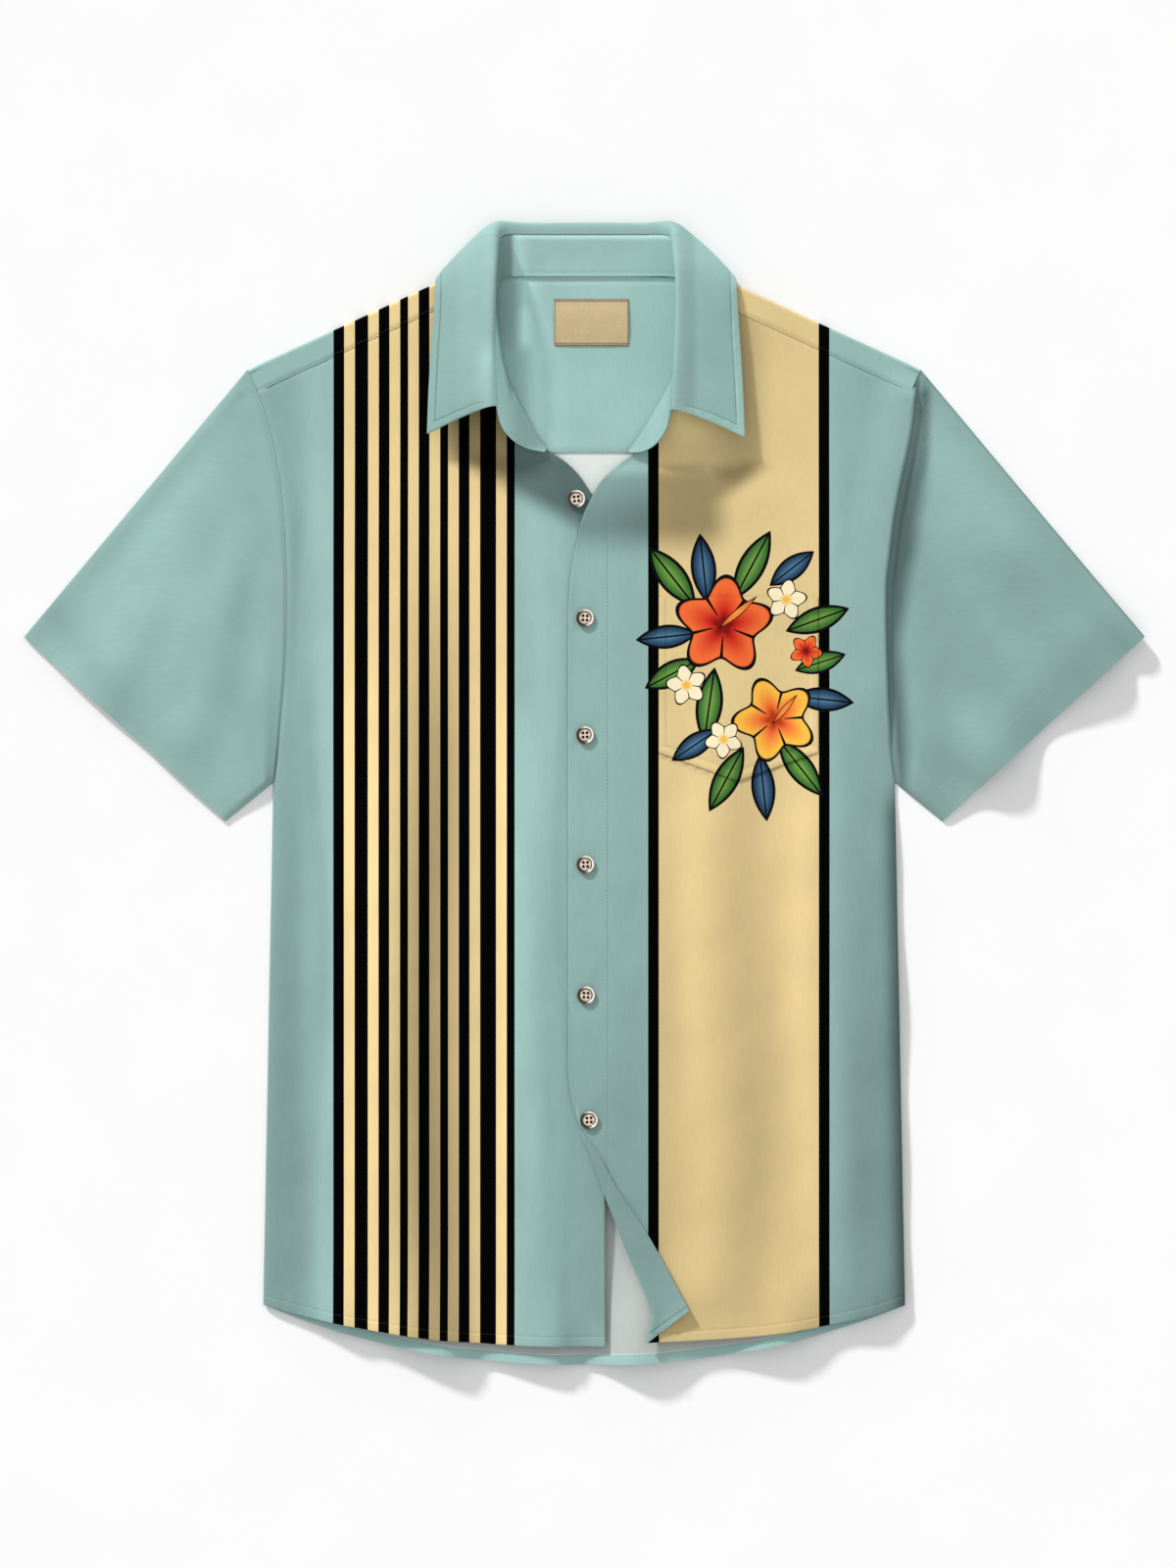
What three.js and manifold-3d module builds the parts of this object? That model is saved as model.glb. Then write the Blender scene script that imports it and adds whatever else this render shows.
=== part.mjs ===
// A men's short-sleeved button-front shirt with a stand-and-fall collar, laid flat on its back.
// Millimetres. +Z is up from the surface, +Y runs towards the collar and +X towards the left sleeve.
// The origin is on the surface, at the middle of the shirt's outline.
// Every piece that a maker cuts is one wall of cloth, worked out as a grid of middle points that is given
// its thickness along its normals. Neighbours stay a seam's gap apart.
import * as THREE from "three";
import { mergeVertices } from "three/addons/utils/BufferGeometryUtils.js";
import Module from "manifold-3d";

const wasm = await Module();
wasm.setup();
const { clamp, lerp, smoothstep, degToRad } = THREE.MathUtils;

// Cloth and layers
const CLOTH = 1.0; // wall of one ply
const COLLAR_PLY = 1.2; // wall of the fused collar and stand
const GAP = 0.3; // between pieces at a seam
const PLY_STEP = CLOTH + GAP; // from one layer's middle to the next
const REST_MID = CLOTH / 2; // middle of a layer that lies on the surface
const FACING_MID = REST_MID + PLY_STEP; // the inner yoke, and the lowest that a front can lie
const FRONT_MID = 3.3; // the fronts, away from the side seams
const SIDE_RISE = { inward: [0, 16], up: [0, 70] }; // where the fronts rise from the side seams
const FOLD_FREE = { placket: [13, 41], yoke: [150, 235] }; // the folds fade out towards these
const FOLD_ROOM = 2; // the cloth of a fold starts to turn this far before the fold's outline
const FACING_INSET = 1; // the yoke's facing stops this far short of the shoulder's fold
const LAP_STEP = 1.6; // the left front above the right one, and the pocket above the front
const LAP_END = [18, 52]; // the left front comes down again between these X
// The fall of the collar lies under the yoke, which it raises: the rise grows between two Y and fades
// between two distances from the middle of the neck.
const NECK_LIFT = { rise: 1.8, grows: [296, 340], fades: [116, 160] };

// Outline of the body, as half widths and heights
const UNDERARM = { x: 218.5, y: 8 };
const HEM_CORNER = { x: 225.5, y: -360 };
const SHOULDER_TIP = { x: 236.5, y: 298 };
const SHOULDER_SLOPE = 0.4586;
const SHOULDER_NECK = { x: 97, slope: 0.03 }; // the shoulder's fold levels out under the collar
// A hem's middle height, and how sharply it bends up to the side seam
const BACK_HEM = { y: -401.7, bend: 2.2 };
const RIGHT_HEM = { y: -388.6, bend: 2.2 };
const LEFT_HEM = { y: -385.6, bend: 2.75 };
const BACK_YOKE_Y = 240; // seam between the back and its yoke
const YOKE_RISE = 56; // from that seam to the fold at the shoulder's tip
const FRONT_YOKE_DEPTH = 18.5; // the yoke's seam lies this far in front of the shoulder fold, along Y
// The armhole seam is a line through these points, and every piece that meets it has points at each.
const ARMHOLE = [
  // y, x
  [UNDERARM.y, UNDERARM.x],
  [30, 216],
  [58, 213],
  [90, 210.5],
  [122, 209.4],
  [154, 209.4],
  [186, 210.8],
  [214, 213.4],
  [238, 217.3],
  [258, 221.8],
  [278, 228],
  [SHOULDER_TIP.y, SHOULDER_TIP.x],
];

// Sleeves
const CUFF_OUTER = new THREE.Vector2(394, 110);
const CUFF_INNER = new THREE.Vector2(252.5, -19.5);
// The left front folds over its sleeve's seam: it rises between the first two Y, goes out over the sleeve
// up to the third, and comes back in the same way. The rise fades with the distance in from the seam.
const TUCK = { over: 3, low: [30, 90, 122], high: [186, 214, 258], fades: [2, 24] };

// Neck
const NECK_X = 2.7; // middle of the neck
const BACK_NECK_Y = 363.3;
const NECK_CUT = { left: 56, right: 63 }; // half widths of the hole in the yoke
const RIGHT_SHIFT = 7; // the left side of the stand is upright, so its seam is this much further out

// Front edges and the turned-back corner
const RIGHT_EDGE_X = 14.8;
const LEFT_EDGE_X = -12.4;
const TURN_RADIUS = 0.85;
const TIP_RISE = 5;
const TURN_BACK = [
  // y, x of the fold, width of the strip, and degrees above X of its threads
  [-386, 44.3, 37, 37.6],
  [-378, 46.5, 31.5, 35],
  [-364, 48, 23.4, 32],
  [-321, 30.4, 18, 27],
  [-300, 22.3, 13.4, 27],
  [-280, 14.5, 8.8, 27],
  [-256, 6.2, 4.8, 27],
  [-238, -2.8, 1.8, 27],
  [-222, -8.4, 0.7, 27],
  [-204, -11.8, 0, 27],
  [-190, LEFT_EDGE_X, 0, 27],
];
// The left front's edge above its buttons, and then its neckline
const LEFT_EDGE = [
  // y, x
  [-190, LEFT_EDGE_X],
  [0, LEFT_EDGE_X],
  [117, LEFT_EDGE_X],
  [145, -11.4],
  [172, -7.6],
  [193, -2.6],
  [206, 3.2],
  [219, 11],
  [230, 22.5],
  [239.5, 36],
];
const RIGHT_EDGE = [
  [-400, RIGHT_EDGE_X],
  [150, RIGHT_EDGE_X],
  [188, RIGHT_EDGE_X],
  [210, 5],
  [224, -4],
  [234, -14.5],
  [241.5, -27],
];

// Pocket, label and buttons
const POCKET = { x0: 51.6, x1: 164.4, top: 138, side: 29, tip: 8.6 };
const LABEL = { x: 5.2, y: 331.2, width: 52, height: 32.4 };
const BUTTON = { radius: 6.35, thick: 2.4, rim: 1.3, dish: 0.7, hole: 0.75, spread: 1.35 };
const BUTTONS = [
  // x, y, from the neck down
  [-5.4, 207],
  [0.7, 123.2],
  [0.7, 41],
  [1, -50],
  [1.4, -141.8],
  [3.5, -229.5],
];

// Folds of the fronts and sleeves: middle, direction of the fold above +X, half length, half width and rise
const BODY_FOLDS = [
  { x: -104, y: -160, turn: 91, long: 300, wide: 26, rise: -1.1 },
  { x: -168, y: -140, turn: 88, long: 280, wide: 24, rise: 0.9 },
  { x: -58, y: -170, turn: 90, long: 270, wide: 20, rise: 0.9 },
  { x: 74, y: -190, turn: 90, long: 230, wide: 22, rise: 0.8 },
  { x: 112, y: -150, turn: 89, long: 250, wide: 24, rise: -1.1 },
  { x: 152, y: -170, turn: 91, long: 260, wide: 20, rise: 0.9 },
  { x: 196, y: -60, turn: 96, long: 180, wide: 16, rise: 0.7 },
  { x: -196, y: 120, turn: 84, long: 130, wide: 16, rise: 0.6 },
];
const RIGHT_SLEEVE_FOLDS = [
  { x: 262, y: 214, turn: -50, long: 130, wide: 18, rise: 0.9 },
  { x: 300, y: 118, turn: -58, long: 110, wide: 20, rise: 1.2 },
  { x: 262, y: 110, turn: -66, long: 120, wide: 18, rise: -0.8 },
  { x: 246, y: 60, turn: -80, long: 90, wide: 15, rise: 0.9 },
];
const LEFT_SLEEVE_FOLDS = [
  { x: 222, y: 150, turn: 92, long: 150, wide: 12, rise: -1.0 },
  { x: 268, y: 200, turn: -52, long: 120, wide: 20, rise: 1.1 },
  { x: 322, y: 110, turn: -56, long: 90, wide: 20, rise: -0.7 },
  { x: 280, y: 70, turn: -68, long: 110, wide: 18, rise: 1.0 },
];

// The collar, from its front end to the middle of the back, in rows of [h, y, z] with h measured out
// from the middle of the neck: seam is the foot of the stand, roll the line where the fall turns over and
// edge the fall's free edge. bulge is how far the fall goes on upward at the roll, and tail the direction
// from its edge back along the cloth.
const COLLAR = [
  { seam: [47.5, 281], roll: [63.5, 271, 24], bulge: 9, edge: [112.5, 252.5, 13], tail: [-16, 5, 6] },
  { seam: [53.5, 302], roll: [65, 300, 29], bulge: 9, edge: [111.2, 288, 11], tail: [-16, 2, 8] },
  { seam: [59, 331], roll: [65, 335, 30], bulge: 9, edge: [109, 322, 10], tail: [-15, 3, 9] },
  { seam: [58.5, 346], roll: [64.5, 362, 28], bulge: 10, edge: [107.4, 344, 10], tail: [-14, 9, 8] },
  { seam: [56.5, 353.5], roll: [63.5, 376, 23], bulge: 13, edge: [106.8, 354, 9.5], tail: [-14, 15, 6] },
  { seam: [53.5, 358], roll: [62, 385, 18.5], bulge: 18, edge: [106.2, 361.4, 6.4], tail: [-15, 20, 2] },
  { seam: [50, 361], roll: [59.5, 391, 14.5], bulge: 22, edge: [101, 365.3, 1.7], tail: [-14, 22, 0] },
  { seam: [45, 362.8], roll: [54, 393, 11.5], bulge: 22, edge: [90, 357, 0.9], tail: [-10, 40, 0] },
  { seam: [34, 363.6], roll: [40, 393.5, 9.5], bulge: 18, edge: [60, 357, 0.7], tail: [-6, 42, 0] },
  { seam: [17, 363.6], roll: [20, 393.5, 9.2], bulge: 18, edge: [28, 357, 0.7], tail: [-2, 42, 0] },
  { seam: [0, 363.6], roll: [0, 393.5, 9.2], bulge: 18, edge: [0, 357, 0.7], tail: [0, 42, 0] },
];
const BULGES = COLLAR.map((row, i) => [i / (COLLAR.length - 1), row.bulge]);
// The stand's rounded ends, in front of the fall
const STAND_END = [
  { seam: [29, 242.5], roll: [30.5, 240, 6.6] },
  { seam: [34.5, 251], roll: [41.5, 242, 9] },
  { seam: [39, 260.5], roll: [52.5, 247.8, 13] },
  { seam: [43.5, 270.5], roll: [60.3, 257.5, 18.5] },
];

// A smooth curve through the rows of a table whose first column grows; column says which value is read.
function tableAt(table, key, column = 1) {
  const last = table.length - 1;
  let i = 0;
  while (i < last - 1 && key > table[i + 1][0]) i++;
  const slope = (k) => {
    const a = table[Math.max(k - 1, 0)];
    const b = table[Math.min(k + 1, last)];
    return (b[column] - a[column]) / (b[0] - a[0]);
  };
  const [p, q] = [table[i], table[i + 1]];
  const step = q[0] - p[0];
  const t = clamp((key - p[0]) / step, 0, 1);
  const t2 = t * t;
  const t3 = t2 * t;
  return (
    (2 * t3 - 3 * t2 + 1) * p[column] +
    (t3 - 2 * t2 + t) * step * slope(i) +
    (3 * t2 - 2 * t3) * q[column] +
    (t3 - t2) * step * slope(i + 1)
  );
}

// Half width of the body at a height: the side seam, and above the underarm the armhole.
function halfWidth(y) {
  if (y >= SHOULDER_TIP.y) return SHOULDER_TIP.x;
  if (y < UNDERARM.y) {
    const share = (UNDERARM.y - y) / (UNDERARM.y - HEM_CORNER.y);
    return lerp(UNDERARM.x, HEM_CORNER.x, share);
  }
  const i = ARMHOLE.findIndex((row) => row[0] > y);
  const [[y0, x0], [y1, x1]] = [ARMHOLE[i - 1], ARMHOLE[i]];
  return lerp(x0, x1, (y - y0) / (y1 - y0));
}

const hemY = (x, hem) =>
  lerp(hem.y, HEM_CORNER.y, Math.min(Math.abs(x) / HEM_CORNER.x, 1) ** hem.bend);
function shoulderY(x) {
  const outer = Math.max(Math.abs(x), SHOULDER_NECK.x);
  const inner = outer - Math.abs(x);
  return SHOULDER_TIP.y + (SHOULDER_TIP.x - outer) * SHOULDER_SLOPE + inner * SHOULDER_NECK.slope;
}
const frontYokeY = (x) => shoulderY(x) - FRONT_YOKE_DEPTH;
const V_HEIGHTS = [164, 175, 195, 203]; // heights at the armhole of rows that shape the neck's V
const FRONT_YOKE_TOP = 283.4; // where the yoke's front seam meets the armhole

// How far the layers near the neck are raised by the fall of the collar under them.
const neckLift = (x, y) =>
  NECK_LIFT.rise *
  smoothstep(y, ...NECK_LIFT.grows) *
  (1 - smoothstep(Math.abs(x - NECK_X), ...NECK_LIFT.fades));

// Height that a table of folds adds at a point.
function foldRise(folds, x, y) {
  return folds.reduce((sum, f) => {
    const [c, s] = [Math.cos(degToRad(f.turn)), Math.sin(degToRad(f.turn))];
    const along = (x - f.x) * c + (y - f.y) * s;
    const across = (y - f.y) * c - (x - f.x) * s;
    const ends = 1 - smoothstep(Math.abs(along), f.long * 0.45, f.long);
    return sum + f.rise * ends * Math.exp(-((across / f.wide) ** 2));
  }, 0);
}

// Middle of the fronts: low at the side seams, calm at the placket and under the yoke.
function frontMid(x, y) {
  const inset = halfWidth(y) - Math.abs(x);
  const atSide = (1 - smoothstep(inset, ...SIDE_RISE.inward)) * (1 - smoothstep(y, ...SIDE_RISE.up));
  const calm = smoothstep(Math.abs(x), ...FOLD_FREE.placket) * (1 - smoothstep(y, ...FOLD_FREE.yoke));
  const base = lerp(FRONT_MID, FACING_MID, atSide);
  return base + neckLift(x, y) + foldRise(BODY_FOLDS, x, y) * calm * (1 - atSide);
}

// The left front lies over the right one, and over its own sleeve's seam.
function tuckedOver(y) {
  const out = smoothstep(y, TUCK.low[1], TUCK.low[2]);
  const back = smoothstep(y, TUCK.high[0], TUCK.high[1]);
  return TUCK.over * out * (1 - back);
}
function leftFrontMid(x, y) {
  const lap = LAP_STEP * (1 - smoothstep(x, ...LAP_END));
  const inset = halfWidth(y) - x;
  const up = smoothstep(y, TUCK.low[0], TUCK.low[1]);
  const down = smoothstep(y, TUCK.high[1], TUCK.high[2]);
  const tuck = up * (1 - down) * (1 - smoothstep(inset, ...TUCK.fades));
  return frontMid(x, y) + lap + LAP_STEP * tuck;
}

// Closed wall round a grid of middle points. With tube set, each row's end joins its start.
function clothWall(rows, thick, tube = false) {
  const [m, n] = [rows.length, rows[0].length];
  const at = (i, j) => rows[clamp(i, 0, m - 1)][tube ? (j + n) % n : clamp(j, 0, n - 1)];
  const positions = [];
  for (const side of [1, -1])
    for (let i = 0; i < m; i++)
      for (let j = 0; j < n; j++) {
        const across = new THREE.Vector3().subVectors(at(i, j + 1), at(i, j - 1));
        const along = new THREE.Vector3().subVectors(at(i + 1, j), at(i - 1, j));
        const normal = across.cross(along).normalize();
        positions.push(...rows[i][j].clone().addScaledVector(normal, (side * thick) / 2));
      }
  const index = [];
  const low = m * n;
  const quad = (a, b, c, d) => index.push(a, b, c, a, c, d);
  const columns = tube ? n : n - 1;
  for (let i = 0; i < m - 1; i++)
    for (let j = 0; j < columns; j++) {
      const [a, b] = [i * n + j, i * n + ((j + 1) % n)];
      quad(a, b, b + n, a + n);
      quad(low + a, low + a + n, low + b + n, low + b);
    }
  for (let j = 0; j < columns; j++) {
    const [a, b] = [j, (j + 1) % n];
    const top = (m - 1) * n;
    quad(a, low + a, low + b, b);
    quad(top + a, top + b, low + top + b, low + top + a);
  }
  if (!tube)
    for (let i = 0; i < m - 1; i++) {
      const [a, b] = [i * n, i * n + n - 1];
      quad(a, a + n, low + a + n, low + a);
      quad(b, low + b, low + b + n, b + n);
    }
  const geometry = new THREE.BufferGeometry();
  geometry.setAttribute("position", new THREE.Float32BufferAttribute(positions, 3));
  geometry.setIndex(index);
  return outward(geometry);
}

// The same geometry with its faces turned out.
function outward(geometry) {
  const p = geometry.getAttribute("position");
  const index = geometry.getIndex().array;
  const [a, b, c] = [new THREE.Vector3(), new THREE.Vector3(), new THREE.Vector3()];
  let volume = 0;
  for (let i = 0; i < index.length; i += 3) {
    a.fromBufferAttribute(p, index[i]);
    b.fromBufferAttribute(p, index[i + 1]);
    c.fromBufferAttribute(p, index[i + 2]);
    volume += a.dot(b.cross(c));
  }
  if (volume < 0)
    for (let i = 0; i < index.length; i += 3) [index[i + 1], index[i + 2]] = [index[i + 2], index[i + 1]];
  return geometry;
}

// A grid of points: count steps each way, with at(s, v) giving the point at shares s across and v up.
function grid(across, up, at) {
  return up.map((v) => across.map((s) => at(s, v)));
}
const steps = (count) => Array.from({ length: count + 1 }, (_, i) => i / count);

// Shares of the way up a side edge, from the hem's corner to its top: those below the armhole, one at each
// point of the armhole and one at each further height.
function sideSteps(topY, below, heights = []) {
  const height = topY - HEM_CORNER.y;
  const knots = ARMHOLE.map(([y]) => y).filter((y) => y < topY - 4);
  const above = [...knots, ...heights].sort((a, b) => a - b);
  return [...below, ...above.map((y) => (y - HEM_CORNER.y) / height), 1];
}

// A point on a panel between two upright edges and two level ones, found in a few rounds because each
// edge depends on where the point is along the other.
function panelPoint(s, v, { left, right, bottom, top }) {
  let x = lerp(left(0), right(0), s);
  let y = 0;
  for (let round = 0; round < 12; round++) {
    y = lerp(bottom(x), top(x), v);
    x = lerp(left(y), right(y), s);
  }
  return { x, y };
}

// Shares across a front from left to right, with one below the bend of the yoke's seam: more of them
// between that and the armhole than between it and the free edge.
function frontColumns(edges, side) {
  const x = side * SHOULDER_NECK.x;
  const y = frontYokeY(x);
  const bend = (x - edges.left(y)) / (edges.right(y) - edges.left(y));
  const [before, after] = side < 0 ? [9, 4] : [4, 9];
  const shares = [
    ...steps(before).map((t) => lerp(0, bend, t)),
    ...steps(after).slice(1).map((t) => lerp(bend, 1, t)),
  ];
  return side < 0 ? shares : shares.reverse();
}

function backPanel() {
  const edges = {
    left: (y) => -halfWidth(y),
    right: halfWidth,
    bottom: (x) => hemY(x, BACK_HEM),
    top: () => BACK_YOKE_Y - GAP,
  };
  const up = sideSteps(BACK_YOKE_Y - GAP, [0, 0.3]);
  const rows = grid(steps(14), up, (s, v) => {
    const { x, y } = panelPoint(s, v, edges);
    return new THREE.Vector3(x, y, REST_MID);
  });
  return clothWall(rows, CLOTH);
}

// Half width of the neck hole at a height, on the wearer's right; side is +1 for the wearer's left.
function necklineHalf(y, side) {
  const seam = [...STAND_END, ...COLLAR.slice(0, 5)].map((row) => [row.seam[1], row.seam[0]]);
  const end = seam.at(-1)[1];
  const half = tableAt([...seam, [BACK_NECK_Y, end], [430, end]], y);
  return half + (side > 0 ? RIGHT_SHIFT * smoothstep(y, 243, 290) : 0);
}

function rightFront() {
  const edges = {
    left: (y) => -halfWidth(y),
    right: (y) => (y > 242 ? NECK_X - necklineHalf(y, -1) : tableAt(RIGHT_EDGE, y)),
    bottom: (x) => hemY(x, RIGHT_HEM),
    top: (x) => frontYokeY(x) - GAP,
  };
  const up = sideSteps(FRONT_YOKE_TOP, [0, 0.1, 0.2, 0.3, 0.4, 0.49], V_HEIGHTS);
  const rows = grid(frontColumns(edges, -1), up, (s, v) => {
    const { x, y } = panelPoint(s, v, edges);
    return new THREE.Vector3(x, y, frontMid(x, y));
  });
  return clothWall(rows, CLOTH);
}

// The left front, whose lower corner is turned back over itself below the last button.
function leftFront() {
  const edges = {
    left: (y) => {
      if (y > 240) return NECK_X + necklineHalf(y, 1);
      return y < -190 ? tableAt(TURN_BACK, y) : tableAt(LEFT_EDGE, y);
    },
    right: (y) => halfWidth(y) + tuckedOver(y),
    bottom: (x) => hemY(x, LEFT_HEM),
    top: (x) => frontYokeY(x) - GAP,
  };
  const below = [0, 0.03, 0.06, 0.1, 0.14, 0.18, 0.22, 0.245, 0.265, 0.285, 0.32, 0.4, 0.48];
  const up = sideSteps(FRONT_YOKE_TOP, below, V_HEIGHTS);
  const across = frontColumns(edges, 1);
  const turn = [0.25, 0.5, 0.75, 1]; // of the half turn at the fold
  const rows = up.map((v) => {
    const row = across.map((s) => {
      const { x, y } = panelPoint(s, v, edges);
      return new THREE.Vector3(x, y, leftFrontMid(x, y));
    });
    const fold = row.at(-1);
    const width = fold.y < -190 ? tableAt(TURN_BACK, fold.y, 2) : 0;
    const angle = degToRad(tableAt(TURN_BACK, fold.y, 3));
    const open = smoothstep(width, 0.5, 3);
    const slack = lerp(3, 0, open); // where nothing is turned back, the fold's points lie in the last 3 mm
    row.at(-1).x += slack;
    const start = row.at(-1).clone();
    for (const share of turn) {
      const turned = Math.PI * share;
      const flat = start.clone().add(new THREE.Vector3((-slack * share) / 2, 0, 0));
      const bent = start.clone();
      bent.x -= TURN_RADIUS * Math.sin(turned);
      bent.z += TURN_RADIUS * (1 - Math.cos(turned));
      row.push(flat.lerp(bent, open));
    }
    for (const share of [1 / 3, 2 / 3, 1]) {
      const reach = width * share;
      const [dx, dy] = [Math.cos(angle) * reach, Math.sin(angle) * reach];
      const flat = start.clone().add(new THREE.Vector3(-slack * (0.5 + share / 2), 0, 0));
      const lift = TIP_RISE * (reach / TURN_BACK[0][2]) ** 2;
      const under = leftFrontMid(start.x + dx, start.y + dy);
      const bent = new THREE.Vector3(start.x + dx, start.y + dy, under + 2 * TURN_RADIUS + lift);
      row.push(flat.lerp(bent, open));
    }
    return row;
  });
  return clothWall(rows, CLOTH);
}

// The yoke's grid of columns, with one at each end of the shoulders' slope. A column starts at the seam
// with the back, and its first points, as many as YOKE_ROWS has shares, run up to the shoulder's fold.
const armholeInYoke = ARMHOLE.map(([y]) => y).filter((y) => y > BACK_YOKE_Y && y < SHOULDER_TIP.y);
const YOKE_ROWS = [0, ...armholeInYoke.map((y) => (y - BACK_YOKE_Y) / YOKE_RISE), 1];
const YOKE_BREAK = SHOULDER_NECK.x / SHOULDER_TIP.x;
const YOKE_COLUMNS = [
  ...steps(7).map((t) => lerp(-1, -YOKE_BREAK, t)),
  ...steps(12).slice(1, -1).map((t) => lerp(-YOKE_BREAK, YOKE_BREAK, t)),
  ...steps(7).map((t) => lerp(YOKE_BREAK, 1, t)),
];

// A point s of the way out on the line that edge(x) gives, for a side edge that also depends on it.
function yokePoint(s, edge) {
  let x = s * SHOULDER_TIP.x;
  for (let round = 0; round < 8; round++) x = s * halfWidth(edge(x));
  return new THREE.Vector3(x, edge(x), 0);
}
function underYoke(s, f) {
  const p = yokePoint(s, (x) => lerp(BACK_YOKE_Y, shoulderY(x) - FOLD_ROOM, f));
  p.z = REST_MID + neckLift(p.x, p.y);
  return p;
}

// The yoke: flat under the shoulders, folded over them and sewn to the fronts, with the neck cut out.
function yoke() {
  const columns = YOKE_COLUMNS.map((s) => {
    const column = YOKE_ROWS.map((f) => underYoke(s, f));
    const start = column.at(-1);
    const radius = (frontMid(start.x, start.y) - start.z) / 2;
    for (const share of [0.25, 0.5, 0.75, 1]) {
      const angle = Math.PI * share;
      const [out, rise] = [radius * Math.sin(angle), radius * (1 - Math.cos(angle))];
      column.push(new THREE.Vector3(start.x, start.y + out, start.z + rise));
    }
    for (const f of [0.35, 1]) {
      const p = yokePoint(s, (x) => lerp(shoulderY(x) - FOLD_ROOM, frontYokeY(x), f));
      p.z = frontMid(p.x, p.y);
      column.push(p);
    }
    return column;
  });
  const wall = solidOf(clothWall(columns, CLOTH));
  const wide = NECK_CUT.left + NECK_CUT.right;
  const middle = NECK_X + (NECK_CUT.right - NECK_CUT.left) / 2;
  const hole = new THREE.BoxGeometry(wide, 60, 30).translate(middle, BACK_NECK_Y + 30, 0);
  const frontHole = new THREE.BoxGeometry(wide, 90, 30).translate(middle, 345, 15 + FACING_MID);
  return geometryOf(wall.subtract(solidOf(hole)).subtract(solidOf(frontHole)));
}

// The yoke's facing lies on the yoke's own points, inside the shoulders' fold.
function yokeFacing() {
  const rows = YOKE_COLUMNS.slice(2, -2).map((s) => {
    const column = YOKE_ROWS.map((f) => underYoke(s, f));
    const [last, before] = [column.at(-1), column.at(-2)];
    last.lerp(before, FACING_INSET / last.distanceTo(before));
    for (const p of column) p.z += PLY_STEP;
    return column;
  });
  return clothWall(rows, CLOTH);
}

// A sleeve is one cloth folded along its top and sewn under the arm: a flattened tube.
function sleeve(side, folds) {
  const stations = [0, 0.12, 0.26, 0.42, 0.58, 0.74, 0.88, 1];
  const inner = ARMHOLE.slice(1, -1)
    .map(([y]) => (SHOULDER_TIP.y - y) / (SHOULDER_TIP.y - UNDERARM.y))
    .reverse();
  const rows = stations.map((u) => {
    const spot = (v) => {
      const y = lerp(SHOULDER_TIP.y, UNDERARM.y, v);
      const start = new THREE.Vector2(halfWidth(y) + 1.6 * GAP, y);
      const cuff = new THREE.Vector2().lerpVectors(CUFF_OUTER, CUFF_INNER, v);
      return start.lerp(cuff, u);
    };
    const chord = spot(0).distanceTo(spot(1));
    const shares = [2 / chord, ...inner, 1 - 2 / chord];
    const point = (v, z) => {
      const p = spot(v);
      return new THREE.Vector3(side * p.x, p.y, z);
    };
    const upper = (v) => {
      const p = spot(v);
      const inset = Math.min(v, 1 - v) * chord;
      const calm = smoothstep(inset, 4, 24);
      return lerp(FACING_MID + 0.1, FRONT_MID, smoothstep(inset, 0, 14)) + foldRise(folds, p.x, p.y) * calm;
    };
    const fold = (v) => point(v, (REST_MID + upper(v)) / 2);
    return [
      fold(0),
      ...shares.map((v) => point(v, REST_MID)),
      fold(1),
      ...shares.toReversed().map((v) => point(v, upper(v))),
    ];
  });
  return clothWall(rows, CLOTH, true);
}

// Height of the cloth's upper face under the collar stand.
function topUnderStand(x, y) {
  const mid = y > BACK_NECK_Y - 4 ? FACING_MID + neckLift(x, y) : frontMid(x, y);
  const lap = x > 0 && y < 262 ? LAP_STEP * (1 - smoothstep(x, ...LAP_END)) : 0;
  return mid + lap + CLOTH / 2;
}

// A smooth line from the right-hand end of a table of half rows, round the back, to the left-hand end, with
// two points to each row.
function roundNeck(rows, key) {
  const half = (side) => rows.map(({ [key]: [h, y, z = 0] }) => new THREE.Vector3(side * h, y, z));
  const points = [...half(-1), ...half(1).slice(0, -1).reverse()];
  const curve = new THREE.CatmullRomCurve3(points, false, "centripetal");
  const count = (points.length - 1) * 2;
  return Array.from({ length: count + 1 }, (_, i) => curve.getPoint(i / count));
}

// The stand: foot points on the seam round the neck and top points on the line where the fall turns over.
function standLines() {
  const stations = [...STAND_END, ...COLLAR];
  const seam = roundNeck(stations, "seam");
  return roundNeck(stations, "roll").map((top, i) => {
    const foot = seam[i];
    if (foot.x > 0) foot.x += RIGHT_SHIFT * smoothstep(foot.y, 243, 290) * smoothstep(foot.x, 6, 40);
    const lean = Math.hypot(top.x - foot.x, top.y - foot.y);
    const flatness = lean / Math.hypot(lean, top.z - 5);
    foot.z = topUnderStand(foot.x + NECK_X, foot.y) + GAP + 0.2 + (COLLAR_PLY / 2) * flatness;
    return { foot, top };
  });
}

function collarFall() {
  const ends = STAND_END.length * 2;
  const roll = standLines().slice(ends, -ends);
  const [edge, tail] = ["edge", "tail"].map((key) => roundNeck(COLLAR, key));
  const last = (COLLAR.length - 1) * 2;
  const bulge = (i) => tableAt(BULGES, Math.min(i, roll.length - 1 - i) / last);
  const along = [0, 0.08, 0.18, 0.3, 0.44, 0.6, 0.8, 1];
  const rows = roll.map(({ foot, top }, i) => {
    const lead = top.clone().sub(foot).normalize();
    const start = top.clone().addScaledVector(lead, GAP + 0.3);
    const curve = new THREE.CubicBezierCurve3(
      start,
      start.clone().addScaledVector(lead, bulge(i)),
      edge[i].clone().add(tail[i]),
      edge[i],
    );
    return along.map((t) => curve.getPoint(t));
  });
  return clothWall(rows, COLLAR_PLY).translate(NECK_X, 0, 0);
}

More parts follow.
